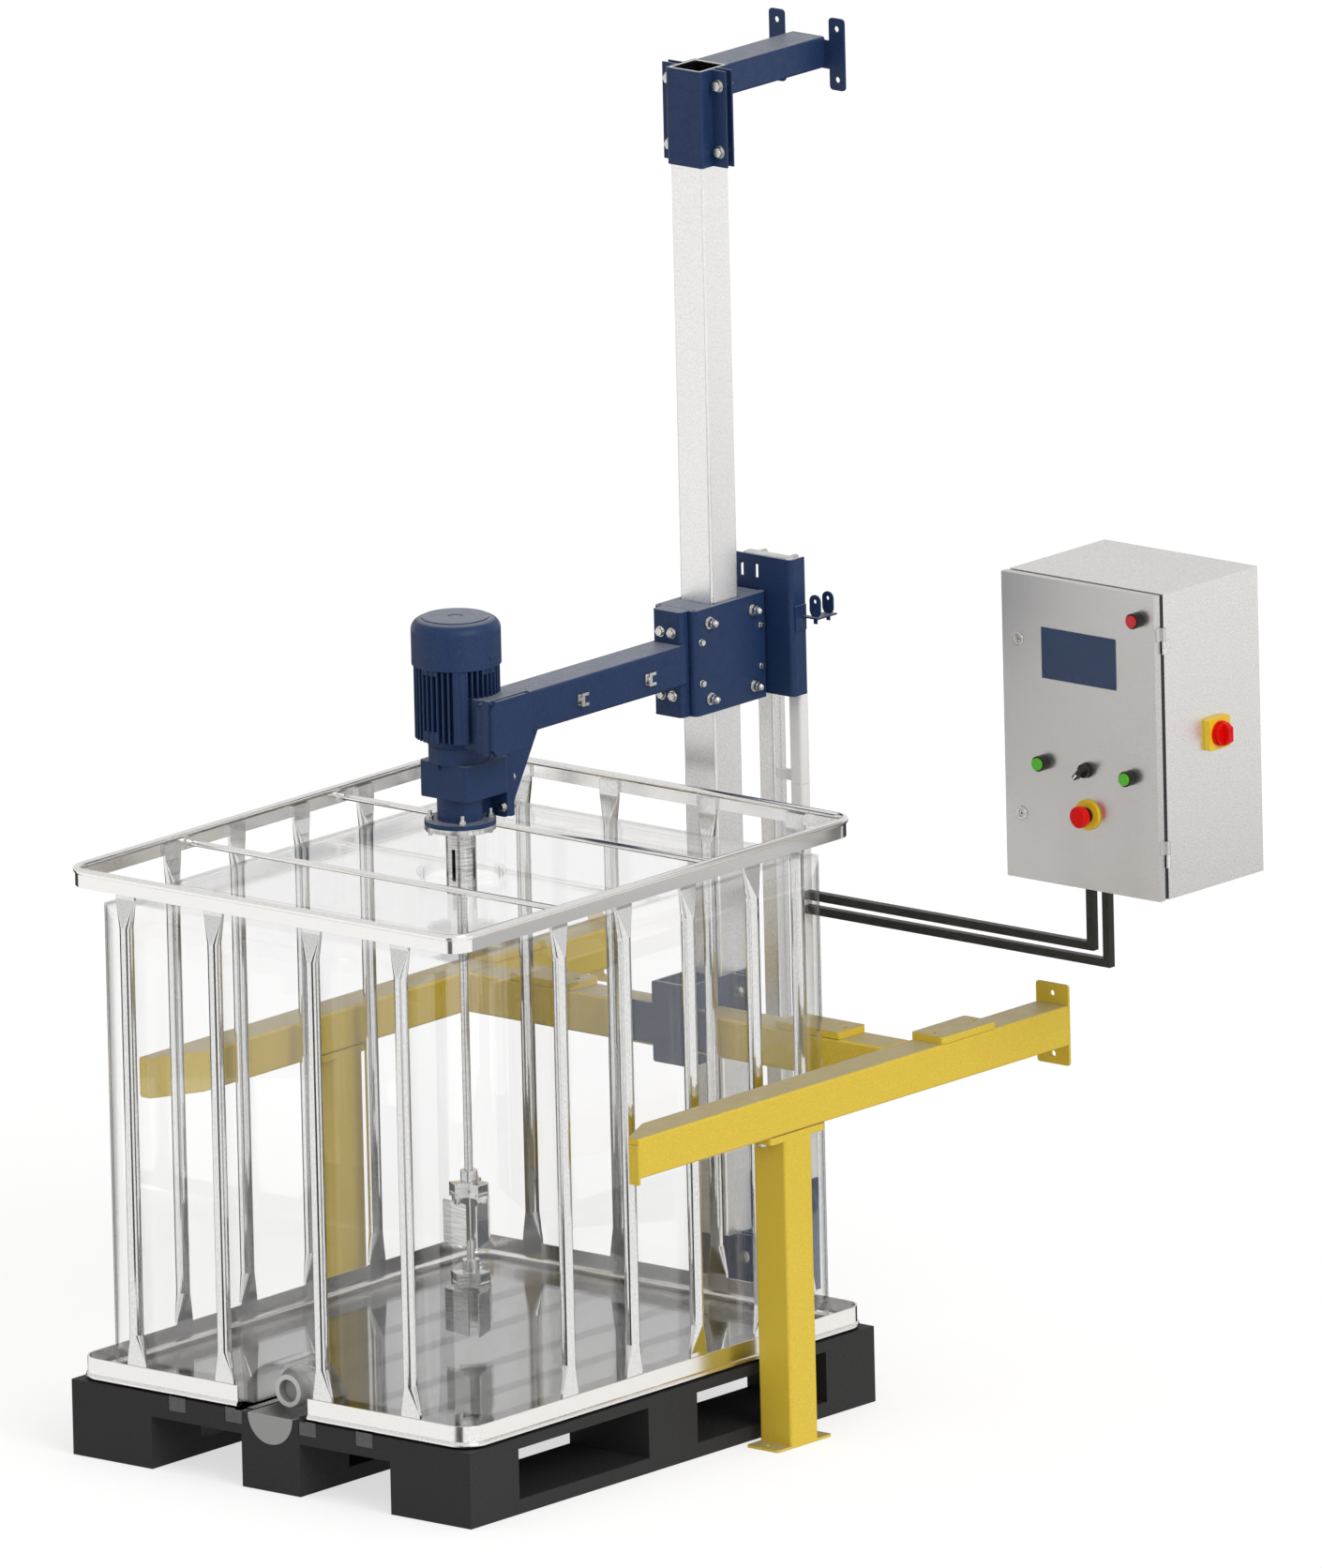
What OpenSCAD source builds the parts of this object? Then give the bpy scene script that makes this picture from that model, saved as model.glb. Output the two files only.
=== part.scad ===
// Mixing station for a 1000 litre tote: a lifting gearmotor mixer on a square
// column, a guard frame that docks the tote, and a wall cabinet.
// Origin: on the floor under the mixer shaft. +X right along the valve face,
// +Y towards the wall, +Z up.

/* [Pallet] */
// Width of the pallet along X
pallet_w = 1000; // [950:5:1040]
// Length of the pallet along Y
pallet_l = 1200; // [1150:5:1240]
// Height of the pallet
pallet_h = 149; // [135:1:165]
// Thickness of the deck between the runners
deck_t = 45; // [38:1:55]
// Width of each outer runner
runner_w = 200; // [150:5:220]
// Width of the middle runner
mid_runner_w = 146; // [120:2:180]
// Length of each fork opening in the sides
side_gap_l = 384; // [300:4:420]
// Distance of each side opening's centre from the middle
side_gap_y = 264; // [250:2:290]
// Height of the bar under the side openings
side_bar_h = 29; // [20:1:35]
// Height of the side openings
side_gap_h = 99; // [80:1:100]

/* [Tray and cage] */
// Gap from the pallet edge to the outer bead of the tray
tray_inset = 5; // [2:0.5:8]
// Diameter of the lower rolled bead
bead_d = 15; // [10:0.5:18]
// Height of the bands that hold the cage tubes
band_h = 30; // [20:1:40]
// Thickness of the bands
band_t = 3; // [2:0.5:4]
// Corner radius of tray and rail
ring_r = 50; // [35:1:80]
// Thickness of the tray sheet
tray_t = 2; // [1.5:0.5:3]
// Depth of the tray ribs in the deck
rib_h = 27; // [15:1:32]
// Width of a tray rib
rib_w = 42; // [30:1:50]
// Distance of the inner ribs from the middle
rib_in_x = 93; // [85:1:110]
// Distance of the outer ribs from the middle
rib_out_x = 235; // [200:1:250]
// Width of the break in the tray band at the valve
valve_gap_w = 176; // [150:2:190]
// Height of the top rail above the floor
rail_top = 1160; // [1100:5:1180]
// Diameter of the cage tubes
cage_d = 27; // [20:1:30]
// Width of the flattened tube ends
flat_w = 46; // [38:1:50]
// Thickness of the flattened tube ends
flat_t = 6; // [4:0.5:8]
// Length of the taper from flat to round
taper_l = 55; // [35:5:80]
// Distance of the inner tubes from the middle on the short faces
end_tube_in = 123; // [115:1:150]
// Distance of the outer tubes from the middle on the short faces
end_tube_out = 344; // [300:1:380]
// Distance of the inner tubes from the middle on the long faces
side_tube_in = 95; // [70:1:120]
// Distance of the outer tubes from the middle on the long faces
side_tube_out = 285; // [265:1:350]
// Diameter of the two rods across the top
cross_d = 12; // [8:1:14]
// Place of the front rod along Y
cross_front_y = -230; // [-245:1:-160]
// Place of the rear rod along Y
cross_rear_y = 220; // [150:1:240]

/* [Bottle and valve] */
// Distance from the bottle's sides to the pallet's edges
bottle_gap = 29; // [29:1:50]
// Height of the bottle's flat top above the floor
bottle_top = 1088; // [1040:2:1100]
// Radius of the bottle's upright corners
bottle_r = 110; // [90:2:140]
// Radius of the shoulder round the top
shoulder_r = 50; // [25:1:60]
// Radius round the bottle's foot
foot_r = 28; // [15:1:40]
// Wall of the bottle
bottle_t = 3; // [2:0.5:5]
// Outer diameter of the filling neck
neck_d = 160; // [150:2:180]
// Height of the neck above the top
neck_h = 18; // [12:1:18]
// Radius of the arched recess over the valve
recess_r = 86; // [78:1:95]
// Depth of the recess
recess_depth = 96; // [80:2:120]
// Outer diameter of the outlet pipe
outlet_d = 64; // [58:1:68]
// Bore of the outlet pipe
outlet_bore = 44; // [36:1:50]
// Diameter of the outlet collar
collar_d = 85; // [78:1:90]
// Height of the outlet axis above the pallet
outlet_rise = 38; // [36:1:42]
// Radius of the guard cup under the outlet
cup_r = 56; // [50:1:60]
// Length of the guard cup
cup_l = 110; // [100:1:120]

/* [Guard frame] */
// Width of the yellow beams and posts
beam_w = 80; // [70:1:80]
// Wall of the beams and posts
beam_wall = 4; // [3:0.5:6]
// Outer corner radius of the beams
beam_r = 6; // [4:0.5:10]
// Height of the beams' underside
beam_z = 620; // [560:5:680]
// Gap between the pallet's sides and the side beams
beam_gap = 25; // [23:1:45]
// Front end of the right beam along Y
right_front = -206; // [-240:1:-150]
// Front end of the left beam along Y
left_front = -258; // [-290:1:-200]
// Length of the lead-in slope on each beam
lead_l = 110; // [60:2:140]
// Width that the lead-in takes off the beam
lead_w = 55; // [30:1:60]
// Distance of the wall behind the column's centre
wall_set = 330; // [310:1:370]
// Gap between the pallet's back and the rear beam
rear_gap = 15; // [12:0.5:17]
// Centre of the posts along Y
post_y = 265; // [200:5:400]
// Length of the plates on the beams
plate_l = 160; // [140:2:180]
// Distance between the two holes of a plate
hole_pitch = 120; // [112:1:126]
// Diameter of the plate holes
hole_d = 12; // [9:0.5:14]
// Thickness of the wall plates
wall_plate_t = 5; // [4:0.5:10]
// Thickness of the floor plates
floor_plate_t = 5; // [4:0.5:10]
// Thickness of the mounting plates
mount_plate_t = 14; // [8:1:18]
// Distance of the side beams' plates behind the rear beam's front face
side_plate_set = 85; // [82:1:120]
// Inner end of the plates on the rear beam from the middle
rear_plate_x = 256; // [200:2:340]

/* [Column] */
// Width of the column
column_w = 80; // [76:1:84]
// Wall of the column
column_wall = 4; // [3:0.5:6]
// Distance of the column's centre behind the rear beam's front face
column_set = 135; // [131:0.5:137]
// Top of the column
column_top = 2538; // [2500:2:2600]
// Thickness of the sheet clamps
clamp_t = 4; // [3:0.5:5]
// Width of each clamp flange beyond the clamp
clamp_lip = 35; // [32:1:40]
// Gap between the two halves of a clamp
clamp_gap = 14; // [8:1:18]
// Height of the top clamp
top_clamp_h = 190; // [180:2:220]
// Diameter of the clamp bolts
clamp_bolt_d = 12; // [8:1:14]
// Distance between the bolts of a clamp, one above the other
clamp_bolt_pitch = 130; // [120:1:150]
// Height of the wall bracket's channel
bracket_h = 62; // [50:1:80]
// Height of the wall bracket's ears
ear_h = 142; // [134:2:160]
// Width of an ear
ear_w = 38; // [30:1:44]
// Distance of the ears' centres from the middle
ear_x = 75; // [68:1:90]
// Distance between the two holes of an ear
ear_pitch = 100; // [80:1:120]
// Half width of the wide part of the beam clamp
saddle_x = 112; // [90:1:130]
// Height of the beam clamp's tall part
beam_clamp_h = 160; // [150:2:180]
// Top of the foot clamp
foot_clamp_top = 237; // [225:1:260]
// Thickness of the column's floor plate
foot_plate_t = 10; // [8:1:15]
// Distance between the floor plate's holes along X
foot_pitch_x = 150; // [140:1:160]
// Distance between the floor plate's holes along Y
foot_pitch_y = 110; // [106:1:130]

/* [Lift] */
// Travel of the lift
lift_travel = 840; // [700:5:842]
// Centre height of the carriage at rest
carriage_z = 1384; // [1376:1:1400]
// Height of the carriage
carriage_h = 208; // [200:2:216]
// Thickness of the carriage's side plates
side_t = 6; // [5:0.5:6.5]
// Clearance between the side plates and the column
side_gap = 6; // [5:0.5:8]
// Diameter of the guide rollers
roller_d = 50; // [44:1:54]
// Width of the guide rollers
roller_w = 60; // [50:1:66]
// Diameter of the roller axles
axle_d = 12; // [8:1:14]
// Upright distance between the roller axles
axle_pitch = 150; // [140:1:152]
// Diameter of the washers on the axles
washer_d = 24; // [20:1:26]
// Half width of the front hat
hat_x = 35; // [31:0.5:35.5]
// Distance of the front hat's face in front of the column's centre
hat_set = 130; // [126:0.5:134]
// Width of the arm
arm_w = 80; // [78:1:82]
// Wall of the arm
arm_wall = 4; // [3:0.5:4]
// Front end of the arm along Y
arm_front = 88; // [86:0.5:100]
// Half width of the rear channel
channel_x = 114; // [100:1:120]
// Depth of the rear channel's flanges
channel_d = 41; // [30:1:44]
// Height of the rear channel
channel_h = 270; // [250:2:290]
// Thickness of the channel sheet
channel_t = 5; // [4:0.5:6]
// Bottom of the foot channel
foot_channel_z = 104; // [98:1:120]
// Height of the foot channel
foot_channel_h = 221; // [200:1:240]
// Width of the lift cylinder's barrel
barrel_w = 39; // [36:1:42]
// Bore of the lift cylinder
barrel_bore = 30; // [26:0.5:31]
// Distance from the rear channel to the barrel
barrel_gap = 44; // [40:1:48]
// Top of the lift cylinder's barrel
barrel_top = 1270; // [1240:2:1276]
// Diameter of the piston rod
rod_d = 16; // [12:1:20]
// Distance of the cross head's pins from the middle
pin_x = 39; // [36:1:42]

/* [Mixer] */
// Diameter of the motor over its fins
motor_d = 166; // [150:2:168]
// Height of the finned body
fins_h = 149; // [140:1:160]
// Number of fins round the body
fin_count = 44; // [24:2:44]
// Thickness of a fin
fin_t = 3.5; // [2.5:0.5:4]
// Diameter of the fan cowl
cowl_d = 173; // [172:0.5:180]
// Height of the fan cowl
cowl_h = 89; // [80:1:110]
// Height of the fins' lower end above the floor
fins_z = 1367; // [1360:1:1370]
// Length of the terminal box cover
cover_l = 116; // [100:1:122]
// Distance of the terminal cover's face from the axis
cover_x = 137; // [130:1:145]
// Half width of the gearbox
gear_x = 61; // [58:1:66]
// Height of the gearbox's underside
gear_z = 1250; // [1244:1:1256]
// Height of the gearbox
gear_h = 70; // [64:1:74]
// Diameter of the output flange
flange_d = 138; // [134:1:146]
// Top of the steel flange
flange_z = 1195; // [1190:1:1198]
// Distance of the flange bolts from the axis
stud_r = 58; // [56:0.5:60]
// Diameter of the lantern tube
lantern_d = 58; // [52:1:64]
// Lower end of the lantern
lantern_z = 1058; // [1030:2:1080]
// Width of the lantern's slots
slot_w = 8; // [5:0.5:14]
// Diameter of the output stub
stub_d = 20; // [18:1:22]
// Lower end of the output stub
stub_z = 935; // [900:5:1000]
// Diameter of the mixer shaft
shaft_d = 16; // [12:1:17]

/* [Folding impellers] */
// Height of the lower impeller's collar top
low_collar_z = 334; // [330:1:380]
// Distance between the two impellers
impeller_pitch = 176; // [165:1:240]
// Blades on each impeller
blades = 3; // [3:1:3]
// Diameter of the clamp collar
hub_d = 33; // [28:1:38]
// Length of a folded blade
blade_l = 100; // [80:1:105]
// Width of a blade
blade_w = 66; // [50:1:68]
// Thickness of a blade
blade_t = 3; // [2:0.5:4]
// Pitch of a blade in degrees
blade_pitch = 22; // [10:1:25]
// Distance of the blade pins from the axis
hinge_r = 30; // [28:0.5:32]
// Diameter of the blade pins
hinge_d = 5; // [4:0.5:6]

/* [Cabinet] */
// Width of the cabinet
cab_w = 380; // [370:2:420]
// Height of the cabinet
cab_h = 600; // [590:2:640]
// Depth of the cabinet body
cab_d = 283; // [260:1:300]
// Centre of the cabinet along X
cab_x = 907; // [900:1:930]
// Underside of the cabinet
cab_z = 1037; // [1020:1:1060]
// Sheet thickness of the cabinet
cab_t = 2; // [1.5:0.5:3]
// Depth of the door pan
door_d = 17; // [14:1:18]
// Gap between door pan and cabinet, filled by the seal
seal_gap = 10; // [7:0.5:11]
// Centre line of the controls along X
controls_x = 922; // [915:1:930]
// Distance of the green buttons from that line
green_dx = 108; // [90:1:112]
// Height of the green buttons
green_z = 1273; // [1262:1:1290]
// Height of the emergency stop
estop_z = 1185; // [1150:1:1192]
// Place of the red button along X
red_x = 1056; // [1045:1:1058]
// Height of the red button
red_z = 1587; // [1575:1:1592]
// Diameter of the button caps
cap_d = 24; // [20:0.5:26]
// Travel of the buttons
press = 3.5; // [2:0.5:4]
// Width of the screen
screen_w = 183; // [160:1:190]
// Height of the screen
screen_h = 100; // [80:1:110]
// Height of the screen's centre
screen_z = 1490; // [1480:1:1495]
// Distance of the locks above and below the cabinet's middle
lock_dz = 172; // [150:1:190]
// Distance of the hinges from the cabinet's middle
hinge_dz = 210; // [190:1:225]
// Side of the main switch plate
switch_w = 62; // [50:1:70]
// Diameter of the main switch knob
switch_d = 43; // [36:1:46]

/* [Ducts] */
// Width of the black wiring ducts
duct_w = 16; // [12:1:18]
// Distance between the two wiring ducts
duct_pitch = 28; // [24:1:34]
// Height of the upper wiring duct's centre
duct_z = 881; // [860:1:900]
// Place of the upper duct's riser along X
riser_x = 806; // [790:1:820]
// Distance between the two risers
riser_pitch = 40; // [30:1:50]
// Width of the white cable duct
white_w = 31; // [26:1:34]
// Depth of the white cable duct
white_d = 26; // [22:1:34]

/* [Hidden] */
$fn = 48;

// Running fit of a shaft in its bore, and the gap between moving faces
fit = 0.05;
gap = 0.3;

// Places that follow from the pallet
bottle_w = pallet_w - 2 * bottle_gap;
bottle_l = pallet_l - 2 * bottle_gap;
beam_x = pallet_w / 2 + beam_gap;
rear_y = pallet_l / 2 + rear_gap;
side_plate_y = rear_y + side_plate_set;
column_y = rear_y + column_set;
wall_y = column_y + wall_set;
hat_y = column_y - hat_set;
clip_y = (arm_front + hat_y) / 2 + 63;

// Ring of the tote
ring_x = pallet_w / 2 - tray_inset;
ring_y = pallet_l / 2 - tray_inset;
band_in = bead_d / 2 - band_t / 2 - 2;
rail_d = 14;
rail_z = rail_top - rail_d / 2;
tray_bead_z = pallet_h + bead_d / 2;
tray_band_z = pallet_h + bead_d;
rail_band_z = rail_top - rail_d - band_h * 0.8;
band_x = ring_x - 4;
band_y = ring_y - 4;
tube_x = band_x - band_t - flat_t / 2;
tube_y = band_y - band_t - flat_t / 2;
outlet_z = pallet_h + outlet_rise;
outlet_front = -(bottle_l / 2 - 27);
bottle_z = pallet_h + tray_t + 0.3;
recess_z = bottle_z + 8;

// Guard frame
beam_mid = beam_x + beam_w / 2;
beam_top = beam_z + beam_w;
beam_zc = beam_z + beam_w / 2;
rear_yc = rear_y + beam_w / 2;

// Column and its clamps
col_in = column_w / 2;
clamp_x = col_in + clamp_t;
lip_x = clamp_x + clamp_lip;
clamp_bolt_x = clamp_x + clamp_lip / 2;
col_front = column_y - col_in;
col_back = column_y + col_in;
top_clamp_z = column_top - top_clamp_h;
beam_clamp_z = beam_zc + 13 - beam_clamp_h / 2;
foot_clamp_z = 62;
web_y = col_back + 69;

// Carriage
plate_in = col_in + side_gap;
plate_x = plate_in + side_t;
front_y = col_front - 67;
axle_y = col_in + roller_d / 2 + gap;
carriage_low = carriage_z - carriage_h / 2;
channel_low = carriage_low + 5;
channel_top = channel_low + channel_h;
screw_y = col_in + 49;
screw_dz = 40.5;
barrel_y = web_y + channel_t + barrel_gap + barrel_w / 2;
cross_z = channel_top - 24;
barrel_foot = foot_channel_z + 12;
pin_end = barrel_y + barrel_w / 2 + 18;

// Mixer
fins_top = fins_z + fins_h;
cowl_z = fins_top - 5;
cowl_top = cowl_z + cowl_h;
fin_r = motor_d / 2;
gear_top = gear_z + gear_h;
gear_back = arm_front - 12;
bracket_z = flange_z + 2;
foot_x = 43;
lantern_r = lantern_d / 2;
up_collar_z = low_collar_z + impeller_pitch;
hub_r = hub_d / 2;
lug_gap = 28;
lug_t = 3;
pin_drop = 44;
pin_reach = lug_gap / 2 + lug_t;

// Cabinet
cab_left = cab_x - cab_w / 2;
cab_right = cab_x + cab_w / 2;
cab_top = cab_z + cab_h;
cab_front = wall_y - cab_d;
door_back = cab_front - seal_gap;
door_front = door_back - door_d;
lock_x = cab_left + 40;
lock_zc = cab_z + cab_h / 2;
hinge_x = cab_right + 4.5;
hinge_y = (door_back + cab_front) / 2;
cap_r = cap_d / 2;
switch_y = cab_front + 147;
switch_z = cab_z + cab_h / 2;

// White duct, beside the cylinder and behind the rear channel
white_x = barrel_w / 2 + 41;
white_y = web_y + channel_d + 5;
duct_y = white_y + duct_w / 2;
duct_step = 100;

blue = "#24406c";
yellow = "#e5c83c";
steel = "#d6d6d4";
black = "#2b2b2b";

// A box from its low corner to its high corner
module box(x0, x1, y0, y1, z0, z1) {
    translate([x0, y0, z0]) cube([x1 - x0, y1 - y0, z1 - z0]);
}

// A centred rectangle with round corners
module rounded(w, l, r) {
    rr = max(0.2, min(r, w / 2 - 0.1, l / 2 - 0.1));
    square([w - 2 * rr, l], center = true);
    square([w, l - 2 * rr], center = true);
    for (x = [-1, 1], y = [-1, 1]) translate([x * (w / 2 - rr), y * (l / 2 - rr)]) circle(rr);
}

// The section of a square tube
module tube_section(w, wall, r) {
    difference() {
        rounded(w, w, r);
        rounded(w - 2 * wall, w - 2 * wall, r - wall);
    }
}

// A profile drawn in X and Z, run along Y
module along_y(y0, y1) {
    translate([0, y1, 0]) rotate([90, 0, 0]) linear_extrude(y1 - y0) children();
}

// A profile drawn in Y and Z, run along X
module along_x(x0, x1) {
    translate([x0, 0, 0]) rotate([90, 0, 90]) linear_extrude(x1 - x0) children();
}

// A cylinder along Y or X
module rod_y(x, z, y0, y1, d) {
    translate([x, y1, z]) rotate([90, 0, 0]) cylinder(d = d, h = y1 - y0);
}
module rod_x(y, z, x0, x1, d) {
    translate([x0, y, z]) rotate([0, 90, 0]) cylinder(d = d, h = x1 - x0);
}

// A sheet profile: a hat over the column, open towards +Y, with side lips
module hat(half_w, front, back, lip, t) {
    r = t + 2;
    difference() {
        union() {
            translate([0, (front + back) / 2 + r / 2]) rounded(2 * half_w, back - front + r, r);
            translate([-half_w - lip, back - t]) square([2 * (half_w + lip), t]);
        }
        translate([0, (front + back) / 2 + t + r / 2])
            rounded(2 * (half_w - t), back - front + r, r - t);
        translate([-half_w - lip - 1, back]) square([2 * (half_w + lip) + 2, r + t + 1]);
    }
}

// A bead that runs round the tote
module bead_ring(z, d) {
    x = ring_x - d / 2;
    y = ring_y - d / 2;
    r = ring_r - d / 2;
    for (s = [-1, 1]) {
        rod_x(s * y, z, -(x - r), x - r, d);
        rod_y(s * x, z, -(y - r), y - r, d);
    }
    for (a = [0 : 3]) {
        cx = (a == 0 || a == 3) ? x - r : r - x;
        cy = a < 2 ? y - r : r - y;
        translate([cx, cy, z]) rotate(a * 90) rotate_extrude(angle = 90) translate([r, 0]) circle(d = d);
    }
}

// The flat band above or below a bead
module band_ring(z, h) {
    translate([0, 0, z]) linear_extrude(h) difference() {
        rounded(2 * band_x, 2 * band_y, ring_r - 4);
        rounded(2 * (band_x - band_t), 2 * (band_y - band_t), ring_r - 4 - band_t);
    }
}

module pallet() color(black) {
    gap_x0 = mid_runner_w / 2;
    gap_x1 = pallet_w / 2 - runner_w;
    half_l = pallet_l / 2;
    difference() {
        box(-pallet_w / 2, pallet_w / 2, -half_l, half_l, 0, pallet_h);
        for (s = [-1, 1]) {
            translate([s > 0 ? gap_x0 : -gap_x1, -half_l - 1, -1])
                cube([gap_x1 - gap_x0, pallet_l + 2, pallet_h - deck_t + 1]);
            for (t = [-1, 1]) {
                translate([s > 0 ? gap_x1 - 1 : -pallet_w / 2 - 1, t * side_gap_y - side_gap_l / 2,
                    side_bar_h])
                    cube([runner_w + 2, side_gap_l, side_gap_h]);
                translate([-gap_x0 - 1, t * side_gap_y - side_gap_l / 2, side_bar_h])
                    cube([2 * gap_x0 + 2, side_gap_l, pallet_h - deck_t - side_bar_h]);
            }
            for (x = [rib_in_x, rib_out_x]) translate([s * x - rib_w / 2 - 0.5, -half_l - 1,
                pallet_h - rib_h - gap])
                cube([rib_w + 1, pallet_l + 2, rib_h + 1]);
        }
        rod_y(0, pallet_h, -half_l - 1, -half_l + cup_l + gap, 2 * (cup_r + gap));
    }
}

module tote_tray() color(steel) {
    front_cut = pallet_l / 2;
    difference() {
        union() {
            bead_ring(tray_bead_z, bead_d);
            band_ring(tray_band_z - 2, band_h + 2);
            translate([0, 0, pallet_h]) linear_extrude(tray_t)
                rounded(2 * (ring_x - bead_d / 2), 2 * (ring_y - bead_d / 2), ring_r - bead_d / 2);
            for (s = [-1, 1], x = [rib_in_x, rib_out_x])
                box(s * x - rib_w / 2, s * x + rib_w / 2, -pallet_l / 2 + 1, pallet_l / 2 - 1,
                    pallet_h - rib_h, pallet_h + tray_t);
        }
        for (s = [-1, 1], x = [rib_in_x, rib_out_x])
            box(s * x - rib_w / 2 + tray_t, s * x + rib_w / 2 - tray_t, -pallet_l / 2 + 1 + tray_t,
                pallet_l / 2 - 1 - tray_t,
                pallet_h - rib_h + tray_t, pallet_h + tray_t + 0.01);
        box(-valve_gap_w / 2, valve_gap_w / 2, -front_cut - 1, -front_cut + 40, pallet_h + tray_t,
            tray_band_z + band_h + 1);
        box(-valve_gap_w / 2, valve_gap_w / 2, -front_cut - 1, -front_cut + tray_inset + bead_d,
            pallet_h - 0.01, tray_band_z);
        box(-cup_r - gap, cup_r + gap, -front_cut - 1, -front_cut + cup_l + gap, pallet_h - 1,
            pallet_h + tray_t + 1);
    }
}

// One cage tube with both ends pressed flat, its flats facing Y
module cage_tube() {
    z0 = tray_band_z + 2;
    z1 = rail_band_z + band_h * 0.8 - 2;
    low = tray_band_z + band_h + 8;
    high = rail_band_z - 8;
    translate([0, 0, low + taper_l]) cylinder(d = cage_d, h = high - low - 2 * taper_l, $fn = 24);
    for (e = [0, 1]) {
        zf = e == 0 ? z0 : high;
        zt = e == 0 ? low : high - taper_l;
        translate([-flat_w / 2, -flat_t / 2, zf]) cube([flat_w, flat_t, e == 0 ? low - z0 : z1 - high]);
        hull() {
            translate([-flat_w / 2, -flat_t / 2, e == 0 ? zt - 0.1 : zt + taper_l]) cube([flat_w,
                flat_t, 0.1]);
            translate([0, 0, e == 0 ? zt + taper_l : zt - 0.1]) cylinder(d = cage_d, h = 0.1, $fn = 24);
        }
    }
}

module cage_tubes() color(steel) {
    for (s = [-1, 1], x = [end_tube_in, end_tube_out], t = [-1, 1]) translate([s * x, t * tube_y, 0])
        cage_tube();
    for (s = [-1, 1], y = [side_tube_in, side_tube_out], t = [-1, 1])
        translate([t * tube_x, s * y, 0]) rotate(90) cage_tube();
}

module cage_top_rail() color(steel) {
    bead_ring(rail_z, rail_d);
    band_ring(rail_band_z, rail_top - rail_band_z - rail_d + 2);
}

module cage_cross_rods() color(steel) {
    z = rail_band_z + cross_d;
    x = band_x - band_t;
    for (y = [cross_front_y, cross_rear_y]) {
        rod_x(y, z, -x + 2, x - 2, cross_d);
        for (s = [-1, 1]) translate([s > 0 ? x - 4 : -x, y - cross_d, z - cross_d * 0.8]) cube([4,
            2 * cross_d, cross_d * 1.6]);
    }
}

// A box with round upright corners, a round shoulder and a round foot
module soft_box(w, l, r, z0, z1, rf, rs) {
    zm = (z0 + z1) / 2;
    intersection() {
        translate([0, 0, z0]) linear_extrude(z1 - z0) rounded(w, l, r);
        along_y(-l / 2 - 1, l / 2 + 1) soft_side(w, z0, z1, rf, rs);
        along_x(-w / 2 - 1, w / 2 + 1) soft_side(l, z0, z1, rf, rs);
    }
}

// One side view of that box, its top corners of radius rs and its lower ones of rf
module soft_side(w, z0, z1, rf, rs) {
    translate([-w / 2, z0 + rf]) square([w, z1 - z0 - rf - rs]);
    translate([-w / 2 + rf, z0]) square([w - 2 * rf, rf + 1]);
    translate([-w / 2 + rs, z1 - rs - 1]) square([w - 2 * rs, rs + 1]);
    for (s = [-1, 1]) {
        translate([s * (w / 2 - rf), z0 + rf]) circle(rf);
        translate([s * (w / 2 - rs), z1 - rs]) circle(rs);
    }
}

module tote_bottle() color([0.9, 0.95, 1, 0.35]) {
    t = bottle_t;
    back = -bottle_l / 2 + recess_depth;
    difference() {
        union() {
            difference() {
                soft_box(bottle_w, bottle_l, bottle_r, bottle_z, bottle_top, foot_r, shoulder_r);
                rod_y(0, recess_z, -bottle_l / 2 - 1, back, 2 * recess_r);
            }
            translate([0, 0, bottle_top - 1]) cylinder(d = neck_d, h = neck_h + 1);
            translate([0, 0, bottle_top + neck_h - 8]) cylinder(d = neck_d + 12, h = 6);
        }
        difference() {
            soft_box(bottle_w - 2 * t, bottle_l - 2 * t, bottle_r - t, bottle_z + t, bottle_top - t,
                foot_r - t, shoulder_r - t);
            rod_y(0, recess_z, -bottle_l / 2 - 1, back + t, 2 * (recess_r + t));
        }
        translate([0, 0, bottle_top - t - 1]) cylinder(d = neck_d - 12, h = neck_h + t + 2);
        rod_y(0, outlet_z, back - 1, back + t + 1, outlet_bore);
    }
}

module outlet_valve() color("#b9babb") {
    back = -bottle_l / 2 + recess_depth;
    difference() {
        union() {
            rod_y(0, outlet_z, outlet_front, back, outlet_d);
            rod_y(0, outlet_z, outlet_front + 24, outlet_front + 40, collar_d);
            rod_y(0, outlet_z, back - 8, back, 2 * (outlet_rise - tray_t) - 2);
        }
        rod_y(0, outlet_z, outlet_front - 1, back + 1, outlet_bore);
    }
    half_l = pallet_l / 2;
    difference() {
        rod_y(0, pallet_h, -half_l, -half_l + cup_l, 2 * cup_r);
        rod_y(0, pallet_h, -half_l + 4, -half_l + cup_l - 3, 2 * (cup_r - 3));
        box(-cup_r - 1, cup_r + 1, -half_l - 1, -half_l + cup_l + 1, pallet_h, pallet_h + cup_r + 1);
    }
}

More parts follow.
